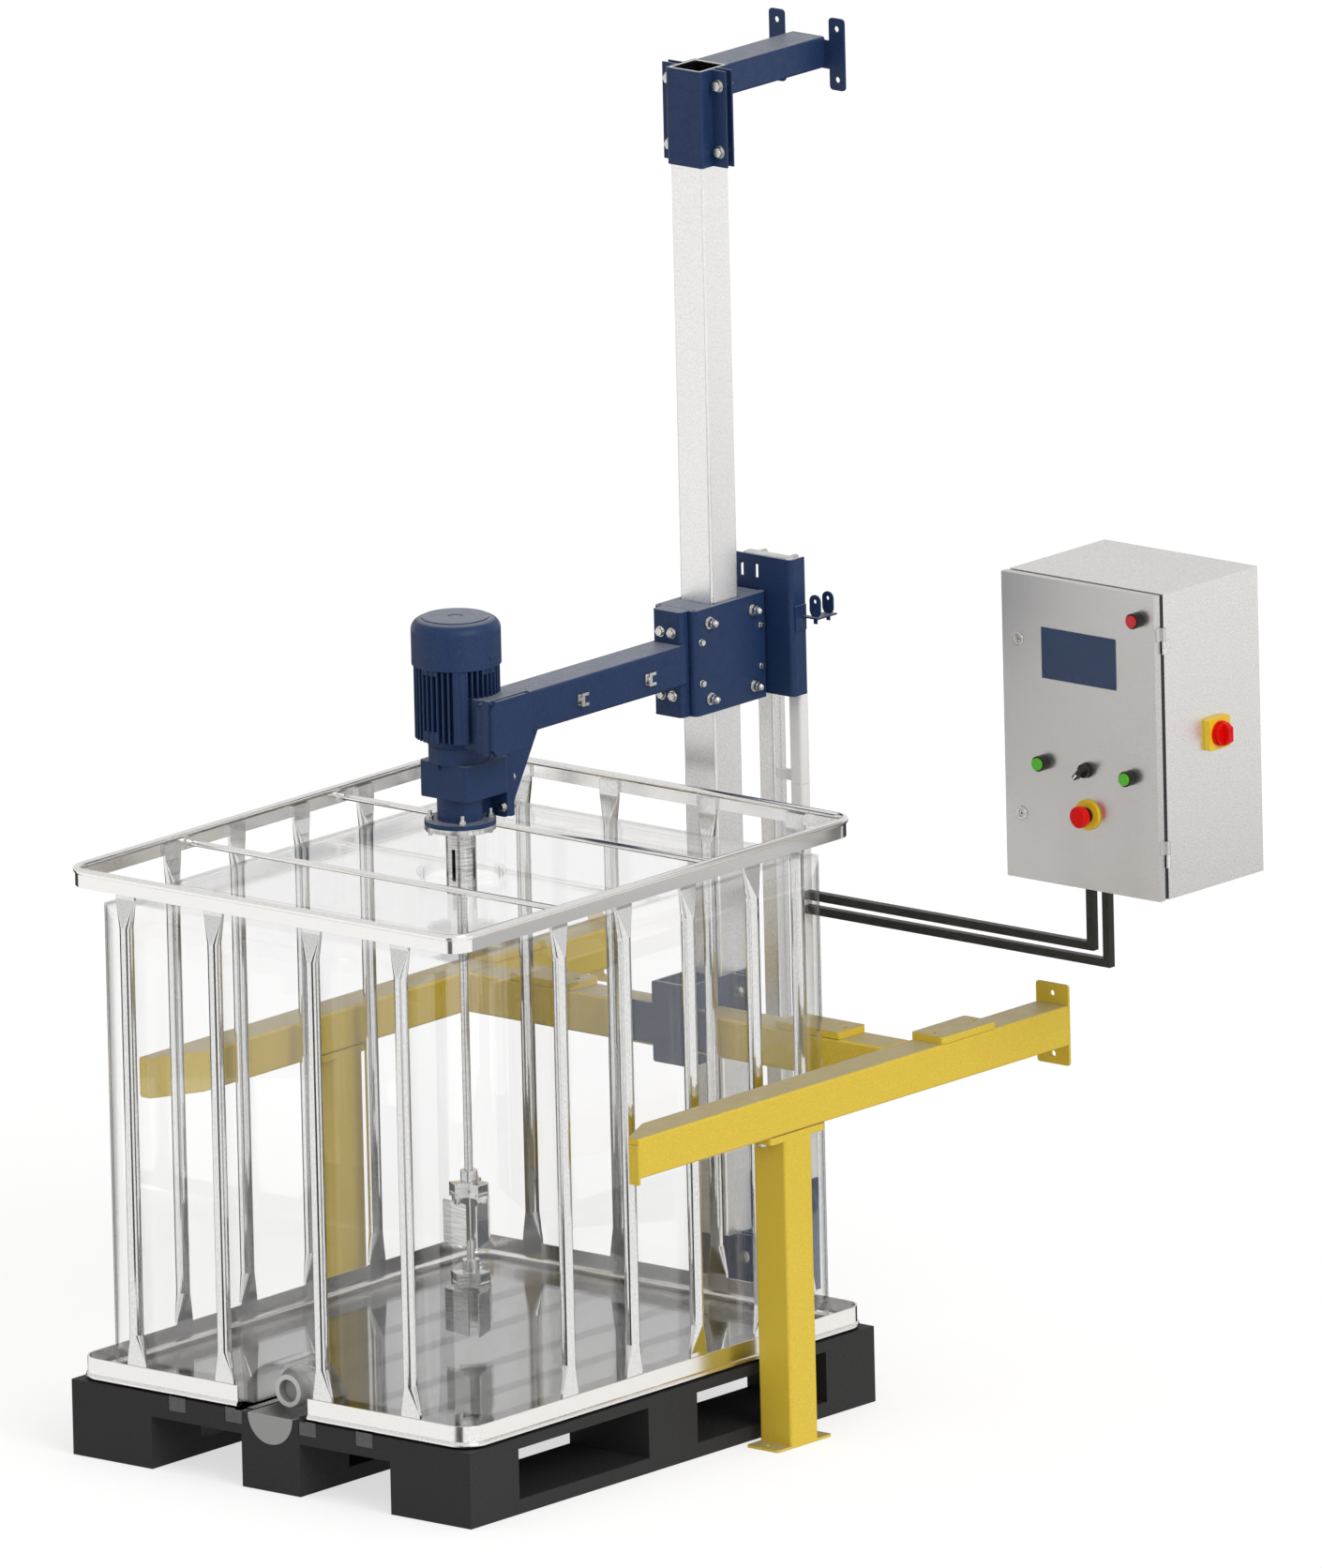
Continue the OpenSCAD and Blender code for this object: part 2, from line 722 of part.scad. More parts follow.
// One side beam with its lead-in end, on the side s
module side_beam(s, front) {
    w = beam_wall;
    end = wall_y - wall_plate_t;
    mirror([s > 0 ? 0 : 1, 0, 0]) difference() {
        intersection() {
            along_y(front, end) translate([beam_mid, beam_zc]) rounded(beam_w, beam_w, beam_r);
            translate([0, 0, beam_z - 1]) linear_extrude(beam_w + 2) polygon([
                [beam_x, end], [beam_x, front + lead_l], [beam_x + lead_w, front],
                [beam_x + beam_w, front], [beam_x + beam_w, end]]);
        }
        intersection() {
            along_y(front + w, end - w) translate([beam_mid, beam_zc])
                rounded(beam_w - 2 * w, beam_w - 2 * w, beam_r - w);
            translate([0, 0, beam_z - 1]) linear_extrude(beam_w + 2) polygon([
                [beam_x + w, end], [beam_x + w, front + lead_l + w], [beam_x + lead_w + w, front + w],
                [beam_x + beam_w, front + w], [beam_x + beam_w, end]]);
        }
        for (y = [post_y - hole_pitch / 2, post_y + hole_pitch / 2])
            translate([beam_mid, y, beam_z - 1]) cylinder(d = hole_d, h = w + 2);
        for (y = [side_plate_y + plate_l / 2 - hole_pitch / 2, side_plate_y + plate_l / 2 + hole_pitch / 2])
            translate([beam_mid, y, beam_top - w - 1]) cylinder(d = hole_d, h = w + 2);
    }
}

module side_beams() color(yellow) {
    side_beam(1, right_front);
    side_beam(-1, left_front);
    along_y(right_front - 5, right_front + 0.5) translate([beam_x + beam_w - 9, beam_zc - 11])
        rounded(24, beam_w - 2, 3);
}

module rear_beam() color(yellow) {
    difference() {
        along_x(-beam_x, beam_x) translate([rear_yc, beam_zc]) rounded(beam_w, beam_w, beam_r);
        along_x(-beam_x + beam_wall, beam_x - beam_wall) translate([rear_yc, beam_zc])
            rounded(beam_w - 2 * beam_wall, beam_w - 2 * beam_wall, beam_r - beam_wall);
        for (s = [-1, 1], x = [-1, 1])
            translate([s * (rear_plate_x + plate_l / 2) + x * hole_pitch / 2, rear_yc,
                beam_top - beam_wall - 1])
                cylinder(d = hole_d, h = beam_wall + 2);
    }
}

module guard_posts() color(yellow) {
    for (s = [-1, 1]) translate([s * beam_mid, post_y, 0]) {
        translate([0, 0, floor_plate_t]) linear_extrude(beam_z - mount_plate_t - floor_plate_t)
            tube_section(beam_w, beam_wall, beam_r);
        for (p = [[0, floor_plate_t], [beam_z - mount_plate_t, mount_plate_t]])
            translate([0, 0, p[0]]) linear_extrude(p[1]) two_hole_plate(beam_w, plate_l);
    }
}

// A plate with two holes in line, drawn flat with its length along Y
module two_hole_plate(w, l) {
    difference() {
        rounded(w, l, 6);
        for (y = [-1, 1]) translate([0, y * hole_pitch / 2]) circle(d = hole_d);
    }
}

module beam_plates() color(yellow) {
    for (s = [-1, 1]) {
        along_y(wall_y - wall_plate_t, wall_y) translate([s * beam_mid, beam_zc])
            two_hole_plate(beam_w, plate_l);
        translate([s * beam_mid, side_plate_y + plate_l / 2, beam_top])
            linear_extrude(mount_plate_t) two_hole_plate(beam_w, plate_l);
        translate([s * (rear_plate_x + plate_l / 2), rear_yc, beam_top])
            linear_extrude(mount_plate_t) rotate(90) two_hole_plate(beam_w, plate_l);
    }
}

module column() color(steel) {
    difference() {
        union() {
            translate([0, column_y, foot_plate_t + 0.02]) linear_extrude(column_top - foot_plate_t - 0.02)
                tube_section(column_w, column_wall, 6);
            translate([0, column_y, 0]) linear_extrude(foot_plate_t)
                rounded(foot_pitch_x + 40, foot_pitch_y + 36, 8);
        }
        for (x = [-1, 1], y = [-1, 1])
            translate([x * foot_pitch_x / 2, column_y + y * foot_pitch_y / 2, -1]) cylinder(d = 14,
                h = foot_plate_t + 2);
    }
}

// Front half of a sheet clamp, its holes cut for the bolts
module clamp_half(z, h, bolt_z) {
    difference() {
        translate([0, 0, z]) linear_extrude(h)
            hat(clamp_x, col_front - clamp_t, column_y - clamp_gap / 2, clamp_lip, clamp_t);
        for (s = [-1, 1], b = bolt_z) rod_y(s * clamp_bolt_x, b, col_front, column_y, clamp_bolt_d + 0.1);
    }
}

// Rear half: the same hat turned round
module clamp_rear(z, h, bolt_z) {
    translate([0, 2 * column_y, 0]) mirror([0, 1, 0]) clamp_half(z, h, bolt_z);
}

function bolt_pair(zc) = [zc - clamp_bolt_pitch / 2, zc + clamp_bolt_pitch / 2];
top_bolts = bolt_pair(top_clamp_z + top_clamp_h / 2);
beam_bolts = [beam_zc - 60, beam_zc + 60];
foot_bolts = [foot_clamp_top - 44, foot_clamp_z + 30];

module top_clamp() color(blue) clamp_half(top_clamp_z, top_clamp_h, top_bolts);

module wall_bracket() color(blue) {
    t = clamp_t;
    z1 = column_top;
    z0 = z1 - bracket_h;
    zc = (z0 + z1) / 2;
    y0 = col_back + t - 0.5;
    clamp_rear(top_clamp_z, top_clamp_h, top_bolts);
    difference() {
        along_y(y0, wall_y - 0) translate([0, zc]) rounded(2 * clamp_x - 4, bracket_h, 6);
        along_y(y0 - 1, wall_y + 1) translate([0, zc - t - 5]) rounded(2 * (clamp_x - 2 - t),
            bracket_h + 10 - t, 3);
    }
    difference() {
        union() {
            for (s = [-1, 1]) {
                along_y(wall_y - t, wall_y) translate([s * ear_x, zc]) rounded(ear_w, ear_h, 8);
                x_in = clamp_x - 2 - t;
                translate([s > 0 ? x_in : -ear_x, wall_y - t, z0]) cube([ear_x - x_in, t, bracket_h - 6]);
            }
        }
        for (s = [-1, 1], z = [-1, 1]) rod_y(s * ear_x, zc + z * ear_pitch / 2, wall_y - t - 1,
            wall_y + 1, hole_d);
    }
}

module beam_clamp() color(blue) {
    t = 8;
    y1 = rear_y;
    y0 = y1 - t;
    z0 = beam_clamp_z;
    z1 = z0 + beam_clamp_h;
    clamp_half(z0, beam_clamp_h, beam_bolts);
    clamp_rear(z0, beam_clamp_h, beam_bolts);
    along_y(y0, y1) union() {
        translate([0, (z0 + z1) / 2]) rounded(2 * (clamp_x + 3), beam_clamp_h, 5);
        translate([0, beam_zc + 8]) rounded(2 * saddle_x, beam_w, 8);
    }
    for (s = [-1, 1]) {
        x0 = s > 0 ? clamp_x - 5 : -clamp_x;
        box(x0, x0 + 5, y1 - 1, col_front - clamp_t + 1, beam_top + 0.5, z1);
        box(x0, x0 + 5, y1 - 1, col_front - clamp_t + 1, z0, beam_z - 0.5);
    }
}

module foot_clamp() color(blue) {
    z0 = foot_clamp_z;
    h = foot_clamp_top - z0;
    clamp_half(z0, h, foot_bolts);
    clamp_rear(z0, h, foot_bolts);
    for (s = [-1, 1]) box(s > 0 ? 20 : -26, s > 0 ? 26 : -20, col_back + clamp_t - 0.5, web_y + 0.5,
        z0 + 50, z0 + h);
    channel_sheet(foot_channel_z, foot_channel_h);
    box(-barrel_w / 2 - 6, barrel_w / 2 + 6, web_y + channel_t - 0.5, barrel_y + barrel_w / 2,
        foot_channel_z, foot_channel_z + 12);
}

// A channel of bent sheet behind the column, open towards the wall
module channel_sheet(z, h) {
    t = channel_t;
    r = 10;
    translate([0, 0, z]) linear_extrude(h) difference() {
        translate([0, web_y + channel_d / 2 + r]) rounded(2 * channel_x, channel_d + 2 * r, r);
        translate([0, web_y + channel_d / 2 + r + t]) rounded(2 * (channel_x - t), channel_d + 2 * r,
            r - t);
        translate([-channel_x - 1, web_y + channel_d]) square([2 * channel_x + 2, 3 * r + t]);
    }
}

// A hex bolt along -Y: its head towards -Y at y, its thread into +Y
module bolt_y(x, z, y, grip, d) {
    head = d * 1.7;
    translate([x, y, z]) rotate([90, 0, 0]) cylinder(d = head * 1.25, h = 2);
    translate([x, y - 2, z]) rotate([90, 0, 0]) cylinder(d = head, h = d * 0.6, $fn = 6);
    rod_y(x, z, y - 1, y + grip, d);
}

// A nut along +Y, its face at y
module nut_y(x, z, y, d) {
    translate([x, y + d * 0.7, z]) rotate([90, 0, 0]) cylinder(d = d * 1.7, h = d * 0.7, $fn = 6);
}

module frame_bolts() color(steel) {
    y0 = column_y - clamp_gap / 2 - clamp_t;
    grip = clamp_gap + 2 * clamp_t;
    for (s = [-1, 1], z = concat(top_bolts, beam_bolts, foot_bolts)) {
        bolt_y(s * clamp_bolt_x, z, y0, grip + clamp_bolt_d * 1.2, clamp_bolt_d);
        nut_y(s * clamp_bolt_x, z, y0 + grip, clamp_bolt_d);
    }
    for (s = [-1, 1], y = [-1, 1]) translate([s * beam_mid, post_y + y * hole_pitch / 2,
        beam_z - mount_plate_t]) {
        translate([0, 0, -2]) cylinder(d = hole_d * 2, h = 2);
        translate([0, 0, -2 - hole_d * 0.6]) cylinder(d = hole_d * 1.75, h = hole_d * 0.6 + 0.5, $fn = 6);
        translate([0, 0, -1]) cylinder(d = hole_d - 0.4, h = mount_plate_t + beam_wall + 12);
    }
}

module lift_cylinder() color(steel) {
    translate([0, barrel_y, barrel_foot]) linear_extrude(barrel_top - barrel_foot) difference() {
        rounded(barrel_w, barrel_w - 2, 5);
        circle(d = barrel_bore);
        for (s = [-1, 1]) translate([s * barrel_w / 2, 0]) square([4, 6], center = true);
    }
    translate([0, barrel_y, barrel_top]) linear_extrude(10) difference() {
        rounded(barrel_w, barrel_w - 2, 5);
        circle(d = rod_d + 2 * fit);
    }
}

module cable_duct() color("#f0f0ee") {
    top = barrel_top + 10;
    for (z = [0 : duct_step : top - duct_step]) {
        z1 = z + 2 * duct_step > top ? top : z + duct_step;
        translate([white_x + white_w / 2, white_y + white_d / 2, z])
            linear_extrude(z1 - z - (z1 < top ? 1 : 0))
            rounded(white_w, white_d, 6);
    }
    translate([white_x + white_w / 2, white_y + white_d / 2, 1]) linear_extrude(top - 2)
        rounded(white_w - 2, white_d - 2, 5);
    for (z = [foot_channel_z + 60, top * 0.47, top * 0.86])
        box(barrel_w / 2, white_x + 2, white_y + white_d - 14, white_y + white_d - 4, z, z + 20);
}

// One mitred wiring duct: along X, then up to the cabinet
module wiring_duct(z, x) {
    half = duct_w / 2;
    along_y(duct_y - half, duct_y + half) polygon([
        [white_x + white_w, z - half], [x + half, z - half], [x + half, cab_z],
        [x - half, cab_z], [x - half, z + half], [white_x + white_w, z + half]]);
}

module wiring_ducts() color(black) {
    wiring_duct(duct_z, riser_x);
    wiring_duct(duct_z - duct_pitch, riser_x + riser_pitch);
}

module cabinet_body() color(steel) {
    t = cab_t;
    lip = 15;
    difference() {
        box(cab_left, cab_right, cab_front, wall_y, cab_z, cab_top);
        box(cab_left + t, cab_right - t, cab_front + t, wall_y - t, cab_z + t, cab_top - t);
        box(cab_left + lip, cab_right - lip, cab_front - 1, cab_front + t + 1, cab_z + lip, cab_top - lip);
        for (x = [-1, 1], z = [-1, 1])
            rod_y(cab_x + x * (cab_w / 2 - 18), switch_z + z * (cab_h / 2 - 18), wall_y - t - 1,
                wall_y + 1, 9);
        rod_x(switch_y, switch_z, cab_right - t - 1, cab_right + 1, 22);
    }
    for (s = [-1, 1]) {
        z = lock_zc + s * hinge_dz;
        box(cab_right, cab_right + 2, hinge_y + 3, cab_front + 18, z - 26, z);
        translate([hinge_x, hinge_y, z - 26]) cylinder(d = 9, h = 26);
        translate([hinge_x, hinge_y, z - 1]) cylinder(d = 4, h = 26);
    }
}

module mounting_panel() color("#c9cac8") {
    y = wall_y - cab_t - 20;
    box(cab_left + 25, cab_right - 25, y, y + 2.5, cab_z + 25, cab_top - 25);
    for (x = [-1, 1], z = [-1, 1])
        rod_y(cab_x + x * (cab_w / 2 - 45), switch_z + z * (cab_h / 2 - 50), y + 2.5, wall_y - cab_t, 12);
    device(-0.34, -0.1, 0, 0.42, 0.55, 0.87);
    device(-0.03, 0.12, 0, 0.32, 0.58, 0.8);
    device(-0.34, 0.34, 0, 0.02, 0.35, 0.41);
    device(-0.26, 0.24, 0.02, 0.22, 0.32, 0.45);
    device(-0.37, 0.37, 0, 0.16, 0.18, 0.25);
}

// A device on the mounting panel, its sides in parts of the cabinet's sizes
module device(x0, x1, d0, d1, z0, z1) {
    y = wall_y - cab_t - 20;
    box(cab_x + x0 * cab_w, cab_x + x1 * cab_w, y - d1 * cab_d, y - d0 * cab_d, cab_z + z0 * cab_h,
        cab_z + z1 * cab_h);
}

module main_switch_plate() color("#f2c81e") {
    difference() {
        union() {
            along_x(cab_right, cab_right + 12) translate([switch_y, switch_z]) rounded(switch_w,
                switch_w, 4);
            rod_x(switch_y, switch_z, cab_right - 60, cab_right - 0.02, 21.8);
        }
        rod_x(switch_y, switch_z, cab_right - 20, cab_right + 13, 10);
    }
}

module main_switch_knob() color("#d8201c") {
    x = cab_right + 12 + gap;
    grip = switch_d / 2 + 0.5;
    difference() {
        union() {
            rod_x(switch_y, switch_z, x, x + 14, switch_d);
            rod_x(switch_y, switch_z, x, x + 5, switch_d + 6);
            along_y(switch_y - 6.5, switch_y + 6.5) translate([x, switch_z]) polygon([
                [10, -grip], [16, -grip], [28, -grip * 0.62], [28, grip * 0.62], [16, grip], [10, grip]]);
            rod_x(switch_y, switch_z, cab_right - 15, x + 1, 10 - 2 * fit);
        }
        along_x(x + 24, x + 30) translate([switch_y, switch_z + grip * 0.35]) square([2.4, 9],
            center = true);
    }
}

// One side plate of the carriage, its edges bent in, on +X
module carriage_side() {
    r = side_t + 6;
    back = web_y;
    mid = (front_y + back) / 2;
    lip = plate_x - hat_x - 1;
    difference() {
        translate([0, 0, carriage_low]) linear_extrude(carriage_h) difference() {
            translate([plate_x - lip - r, mid]) rounded(2 * (lip + r), back - front_y, r);
            translate([plate_x - lip - r - side_t, mid]) rounded(2 * (lip + r),
                back - front_y - 2 * side_t, r - side_t);
            translate([plate_x - 4 * lip - 2 * r, front_y - 1]) square([3 * lip + 2 * r,
                back - front_y + 2]);
        }
        for (y = [-1, 1], z = [-1, 1]) {
            rod_x(column_y + y * axle_y, carriage_z + z * axle_pitch / 2, plate_in - 2, plate_x + 2,
                axle_d + 0.1);
            rod_x(column_y + y * screw_y, carriage_z + z * screw_dz, plate_in - 2, plate_x + 2, 8.1);
        }
    }
}

module carriage_sides() color(blue) {
    carriage_side();
    mirror([1, 0, 0]) carriage_side();
}

// Bars in the carriage's corners that take the small screws, on the side t of the column
module corner_bars(t) {
    inner = t > 0 ? column_y + screw_y - 10 : front_y + side_t + 6;
    outer = t > 0 ? web_y - side_t - 6 : column_y - screw_y + 10;
    for (s = [-1, 1]) difference() {
        box(s > 0 ? plate_in - 10 : -plate_in, s > 0 ? plate_in : 10 - plate_in, inner, outer,
            carriage_low + 8, carriage_low + carriage_h - 8);
        for (z = [-1, 1]) rod_x(column_y + t * screw_y, carriage_z + z * screw_dz, -plate_in - 1,
            plate_in + 1, 7.8);
    }
}

// The sheet that closes the carriage round the column, in four strips
module carriage_cap(z) {
    hole = col_in + 1.5;
    inner = hole - 0.02;
    y0 = front_y + 2 * side_t + 0.02;
    y1 = web_y - side_t;
    box(2 - hat_x, hat_x - 2, hat_y + 2, front_y + 2 * side_t - 1, z, z + 3);
    for (p = [[-plate_in, plate_in, y0, column_y - hole], [-plate_in, plate_in, column_y + hole, y1],
              [-plate_in, -hole, column_y - inner, column_y + inner], [hole, plate_in,
                  column_y - inner, column_y + inner]])
        translate([0, 0, z]) linear_extrude(3) intersection() {
            translate([0, (front_y + web_y) / 2]) rounded(2 * plate_in, web_y - front_y - 2 * side_t, 7);
            translate([p[0], p[2]]) square([p[1] - p[0], p[3] - p[2]]);
        }
}

module carriage_front() color(blue) {
    inner_y = front_y + side_t;
    difference() {
        translate([0, 0, carriage_low]) linear_extrude(carriage_h)
            hat(hat_x, hat_y, inner_y + side_t, plate_in - hat_x - 6.5, side_t);
        for (x = [-1, 1], z = [-1, 1]) rod_y(x * 14, carriage_z + z * 62, hat_y - 1,
            hat_y + side_t + 1, 10.1);
    }
    corner_bars(-1);
    for (z = [carriage_low, carriage_low + carriage_h - 3]) carriage_cap(z);
}

module rear_channel() color(blue) {
    difference() {
        channel_sheet(channel_low, channel_h);
        for (x = [-10, 27])
            box(x - 4.7, x + 4.7, web_y - 1, web_y + channel_t + 1, channel_top - channel_h / 6,
                channel_top - channel_h / 15);
    }
    corner_bars(1);
    x = channel_x + 28;
    y = web_y + 36;
    z = channel_low + 186;
    for (s = [0, 38]) {
        difference() {
            along_y(y + s, y + s + 3) translate([x, z - 9]) rounded(27, 44, 13);
            rod_y(x, z, y + s - 1, y + s + 4, 8);
        }
        box(x - 4, x + 4, y + s, y + s + 3, z - 44, z - 30);
    }
    box(x - 13.5, x + 13.5, y - 8, y + 50, z - 33, z - 30);
    box(channel_x - 0.01, channel_x + 3, y - 28, y + 4, z - 58, z - 8);
    box(channel_x + 1, x - 10, y - 8, y + 4, z - 33, z - 30);
}

module roller_axles() color(steel) {
    for (y = [-1, 1], z = [-1, 1]) {
        yc = column_y + y * axle_y;
        zc = carriage_z + z * axle_pitch / 2;
        nut_h = axle_d * 0.8;
        rod_x(yc, zc, -plate_x - 6 - nut_h, plate_x + 6 + nut_h, axle_d);
        for (s = [-1, 1]) mirror([s > 0 ? 0 : 1, 0, 0]) {
            rod_x(yc, zc, roller_w / 2 + gap, plate_in, axle_d + 6);
            rod_x(yc, zc, plate_x, plate_x + 3, washer_d);
            translate([plate_x + 3, yc, zc]) rotate([0, 90, 0]) cylinder(d = axle_d * 1.6, h = nut_h,
                $fn = 6);
            rod_x(yc, zc, plate_x + 3 + nut_h - 1, plate_x + 3 + nut_h + 4, axle_d * 1.3);
            translate([plate_x + 3 + nut_h + 4, yc, zc]) sphere(d = axle_d * 1.3);
        }
    }
}

// A guide roller on the axle at the place (sy, sz)
module roller(sy, sz) color("#e8e6df") {
    translate([-roller_w / 2, column_y + sy * axle_y, carriage_z + sz * axle_pitch / 2]) rotate([0, 90,
        0]) {
        difference() {
            rotate_extrude() translate([0, 0]) polygon([
                [axle_d / 2 + fit, 0], [roller_d / 2 - 2, 0], [roller_d / 2, 2],
                [roller_d / 2, roller_w - 2], [roller_d / 2 - 2, roller_w], [axle_d / 2 + fit, roller_w]]);
        }
    }
}
module roller_front_upper() roller(-1, 1);
module roller_front_lower() roller(-1, -1);
module roller_rear_upper() roller(1, 1);
module roller_rear_lower() roller(1, -1);

module arm() color(blue) {
    difference() {
        union() {
            along_y(arm_front, hat_y) translate([0, carriage_z]) tube_section(arm_w, arm_wall, 6);
            along_y(arm_front, arm_front + 4) translate([0, carriage_z]) rounded(arm_w, arm_w, 6);
            lap = min(10, front_y - hat_y - 6);
            along_y(hat_y - 1, hat_y + lap) difference() {
                translate([0, carriage_z]) tube_section(arm_w, arm_wall, 6);
                translate([0, carriage_z]) square([2 * hat_x + 1, arm_w + 2], center = true);
            }
        }
        for (y = [-1, 1]) rod_x(clip_y + y * 100, carriage_z - 3, arm_w / 2 - arm_wall - 1,
            arm_w / 2 + 1, 5);
    }
}

// The two clips on the side of the arm
module arm_clips() {
    x = arm_w / 2;
    for (s = [-1, 1]) translate([0, clip_y + s * 100, carriage_z - 3]) {
        box(x, x + 2, -10, 10, -13, 13);
        for (z = [-1, 1]) {
            translate([x, -10, z > 0 ? 11 : -13]) cube([12, 20, 2]);
            translate([x + 10, -10, z > 0 ? 7 : -13]) cube([2, 20, 6]);
        }
        rod_x(0, 0, x - 6, x + 4, 4.8);
        rod_x(0, 0, x + 2, x + 4.5, 9);
    }
}

module motor_bracket() color(blue) {
    top = carriage_z - arm_w / 2;
    y0 = gear_back + 12;
    t = 12;
    difference() {
        along_y(y0, y0 + t) translate([0, (bracket_z + top) / 2]) square([104, top - bracket_z],
            center = true);
        for (s = [-1, 1], z = [bracket_z + 20, gear_z + 20]) rod_y(s * foot_x, z, y0 - 1, y0 + t + 1, 10.1);
    }
    for (s = [-1, 1]) translate([s > 0 ? 27 : -33, 0, 0]) rotate([90, 0, 90]) linear_extrude(6)
        polygon([[y0 + t - 1, top], [y0 + t + 96, top], [y0 + t + 17, bracket_z + 14], [y0 + t - 1,
            bracket_z + 14]]);
}

module gearbox() color(blue) {
    x = gear_x;
    front = x * 0.79;
    difference() {
        union() {
            translate([0, (gear_back - front) / 2, gear_z]) linear_extrude(gear_h)
                rounded(2 * x, gear_back + front, 10);
            translate([0, 0, gear_top - 1]) cylinder(r = x - 3, h = fins_z - gear_top - 15);
            translate([0, 0, flange_z]) cylinder(d = 88, h = gear_z - flange_z + 1);
            translate([0, 0, flange_z]) cylinder(d = flange_d, h = 9);
            along_y(gear_back, gear_back + 12) translate([0, (bracket_z + gear_top) / 2])
                rounded(108, gear_top - bracket_z, 8);
            along_y(30, gear_back + 1) translate([0, (bracket_z + 4 + gear_z) / 2 + 3])
                square([26, gear_z - bracket_z], center = true);
            rod_y(-x * 0.2, gear_top - 8, -front - 5, 0, 13);
        }
        for (s = [-1, 1], z = [bracket_z + 20, gear_z + 20])
            rod_y(s * foot_x, z, gear_back - 40, gear_back + 13, 10.1);
        for (a = [45 : 90 : 315]) rotate(a) translate([stud_r, 0, flange_z - 1]) cylinder(d = 8.1, h = 11);
        translate([0, 0, flange_z - 1]) cylinder(d = stub_d + 2 * fit, h = 36);
    }
}

// Outline of the finned motor body
module fin_outline() {
    core = fin_r - 17;
    circle(core);
    intersection() {
        circle(fin_r);
        for (i = [0 : fin_count - 1])
            rotate((i + 0.5) * 360 / fin_count) translate([core - 3, -fin_t / 2]) square([fin_t + 20,
                fin_t]);
    }
    intersection() {
        circle(fin_r - 1);
        rotate(-45) translate([core - 3, -15]) square([24, 30]);
    }
}

module motor() color(blue) {
    translate([0, 0, fins_z]) linear_extrude(fins_h) fin_outline();
    box(0, fin_r + 12, -40, 40, fins_z - 12, fins_z + 88);
    for (a = [0 : 90 : 270]) rotate(a) {
        translate([fin_r - 24, -18, fins_z]) cube([22, 36, 22]);
        translate([fin_r - 24, -18, fins_top - 16]) cube([22, 36, 16]);
    }
    translate([0, 0, fins_z - 16]) cylinder(r1 = gear_x - 4, r2 = fin_r - 12, h = 16.5);
}

module fan_cowl() color(blue) {
    r = cowl_d / 2;
    s = 22;
    difference() {
        rotate_extrude() union() {
            translate([0, cowl_z]) square([r, cowl_h - s]);
            translate([0, cowl_z]) square([r - s, cowl_h]);
            translate([r - s, cowl_z + cowl_h - s]) circle(s);
            translate([0, cowl_top - 1]) square([cowl_d * 0.375, 3]);
        }
        translate([0, 0, cowl_z - 1]) cylinder(r = fin_r + 0.4, h = fins_top - cowl_z + 1);
        translate([0, 0, cowl_top + 1]) cylinder(d = 29, h = 2);
        translate([0, 0, fins_top + 3]) cylinder(r = r - s, h = cowl_top - fins_top - 6);
        translate([0, 0, fins_top - 1]) cylinder(r = fin_r - 20, h = 10);
    }
    for (a = [0 : 90 : 270]) rotate(a) translate([r - 1, 0, cowl_z + 21]) rotate([0, 90, 0])
        cylinder(d = 7, h = 2.5);
}

module terminal_box() color(blue) {
    zc = fins_z + 39;
    x0 = fin_r + 12;
    x1 = cover_x - 8;
    half_y = cover_l / 2;
    half_z = cover_l / 2 - 4;
    along_x(x0, x1 - 15) translate([0, zc - 4]) rounded(cover_l - 4, 2 * half_z - 8, 10);
    along_x(x1 - 16, x1) translate([0, zc]) rounded(2 * half_y + 6, 2 * half_z + 4, 8);
    along_x(x1, cover_x) translate([0, zc]) difference() {
        rounded(2 * half_y, 2 * half_z, 4);
        for (y = [-1, 1], z = [-1, 1]) translate([y * half_y, z * half_z]) rotate(45) square(19,
            center = true);
    }
    for (y = [-1, 1], z = [-1, 1]) rod_x(y * (half_y - 4), zc + z * (half_z - 4), x1, x1 + 3, 7);
    for (y = [-24, 18]) translate([x0 + 14, y, zc - half_z - 6]) cylinder(d = 20, h = 7, $fn = 6);
}

module lantern() color(steel) {
    difference() {
        union() {
            translate([0, 0, flange_z - 10]) cylinder(d = flange_d, h = 10);
            translate([0, 0, lantern_z]) cylinder(r = lantern_r, h = flange_z - lantern_z - 1);
        }
        translate([0, 0, lantern_z - 1]) cylinder(r = lantern_r - 3, h = flange_z - lantern_z + 2);
        for (a = [0 : 90 : 270]) rotate(a + 10)
            translate([lantern_r - 8, -slot_w / 2, lantern_z + 28]) cube([16, slot_w, 62]);
        for (a = [45 : 90 : 315]) rotate(a) translate([stud_r, 0, flange_z - 11]) cylinder(d = 8.1, h = 12);
    }
}

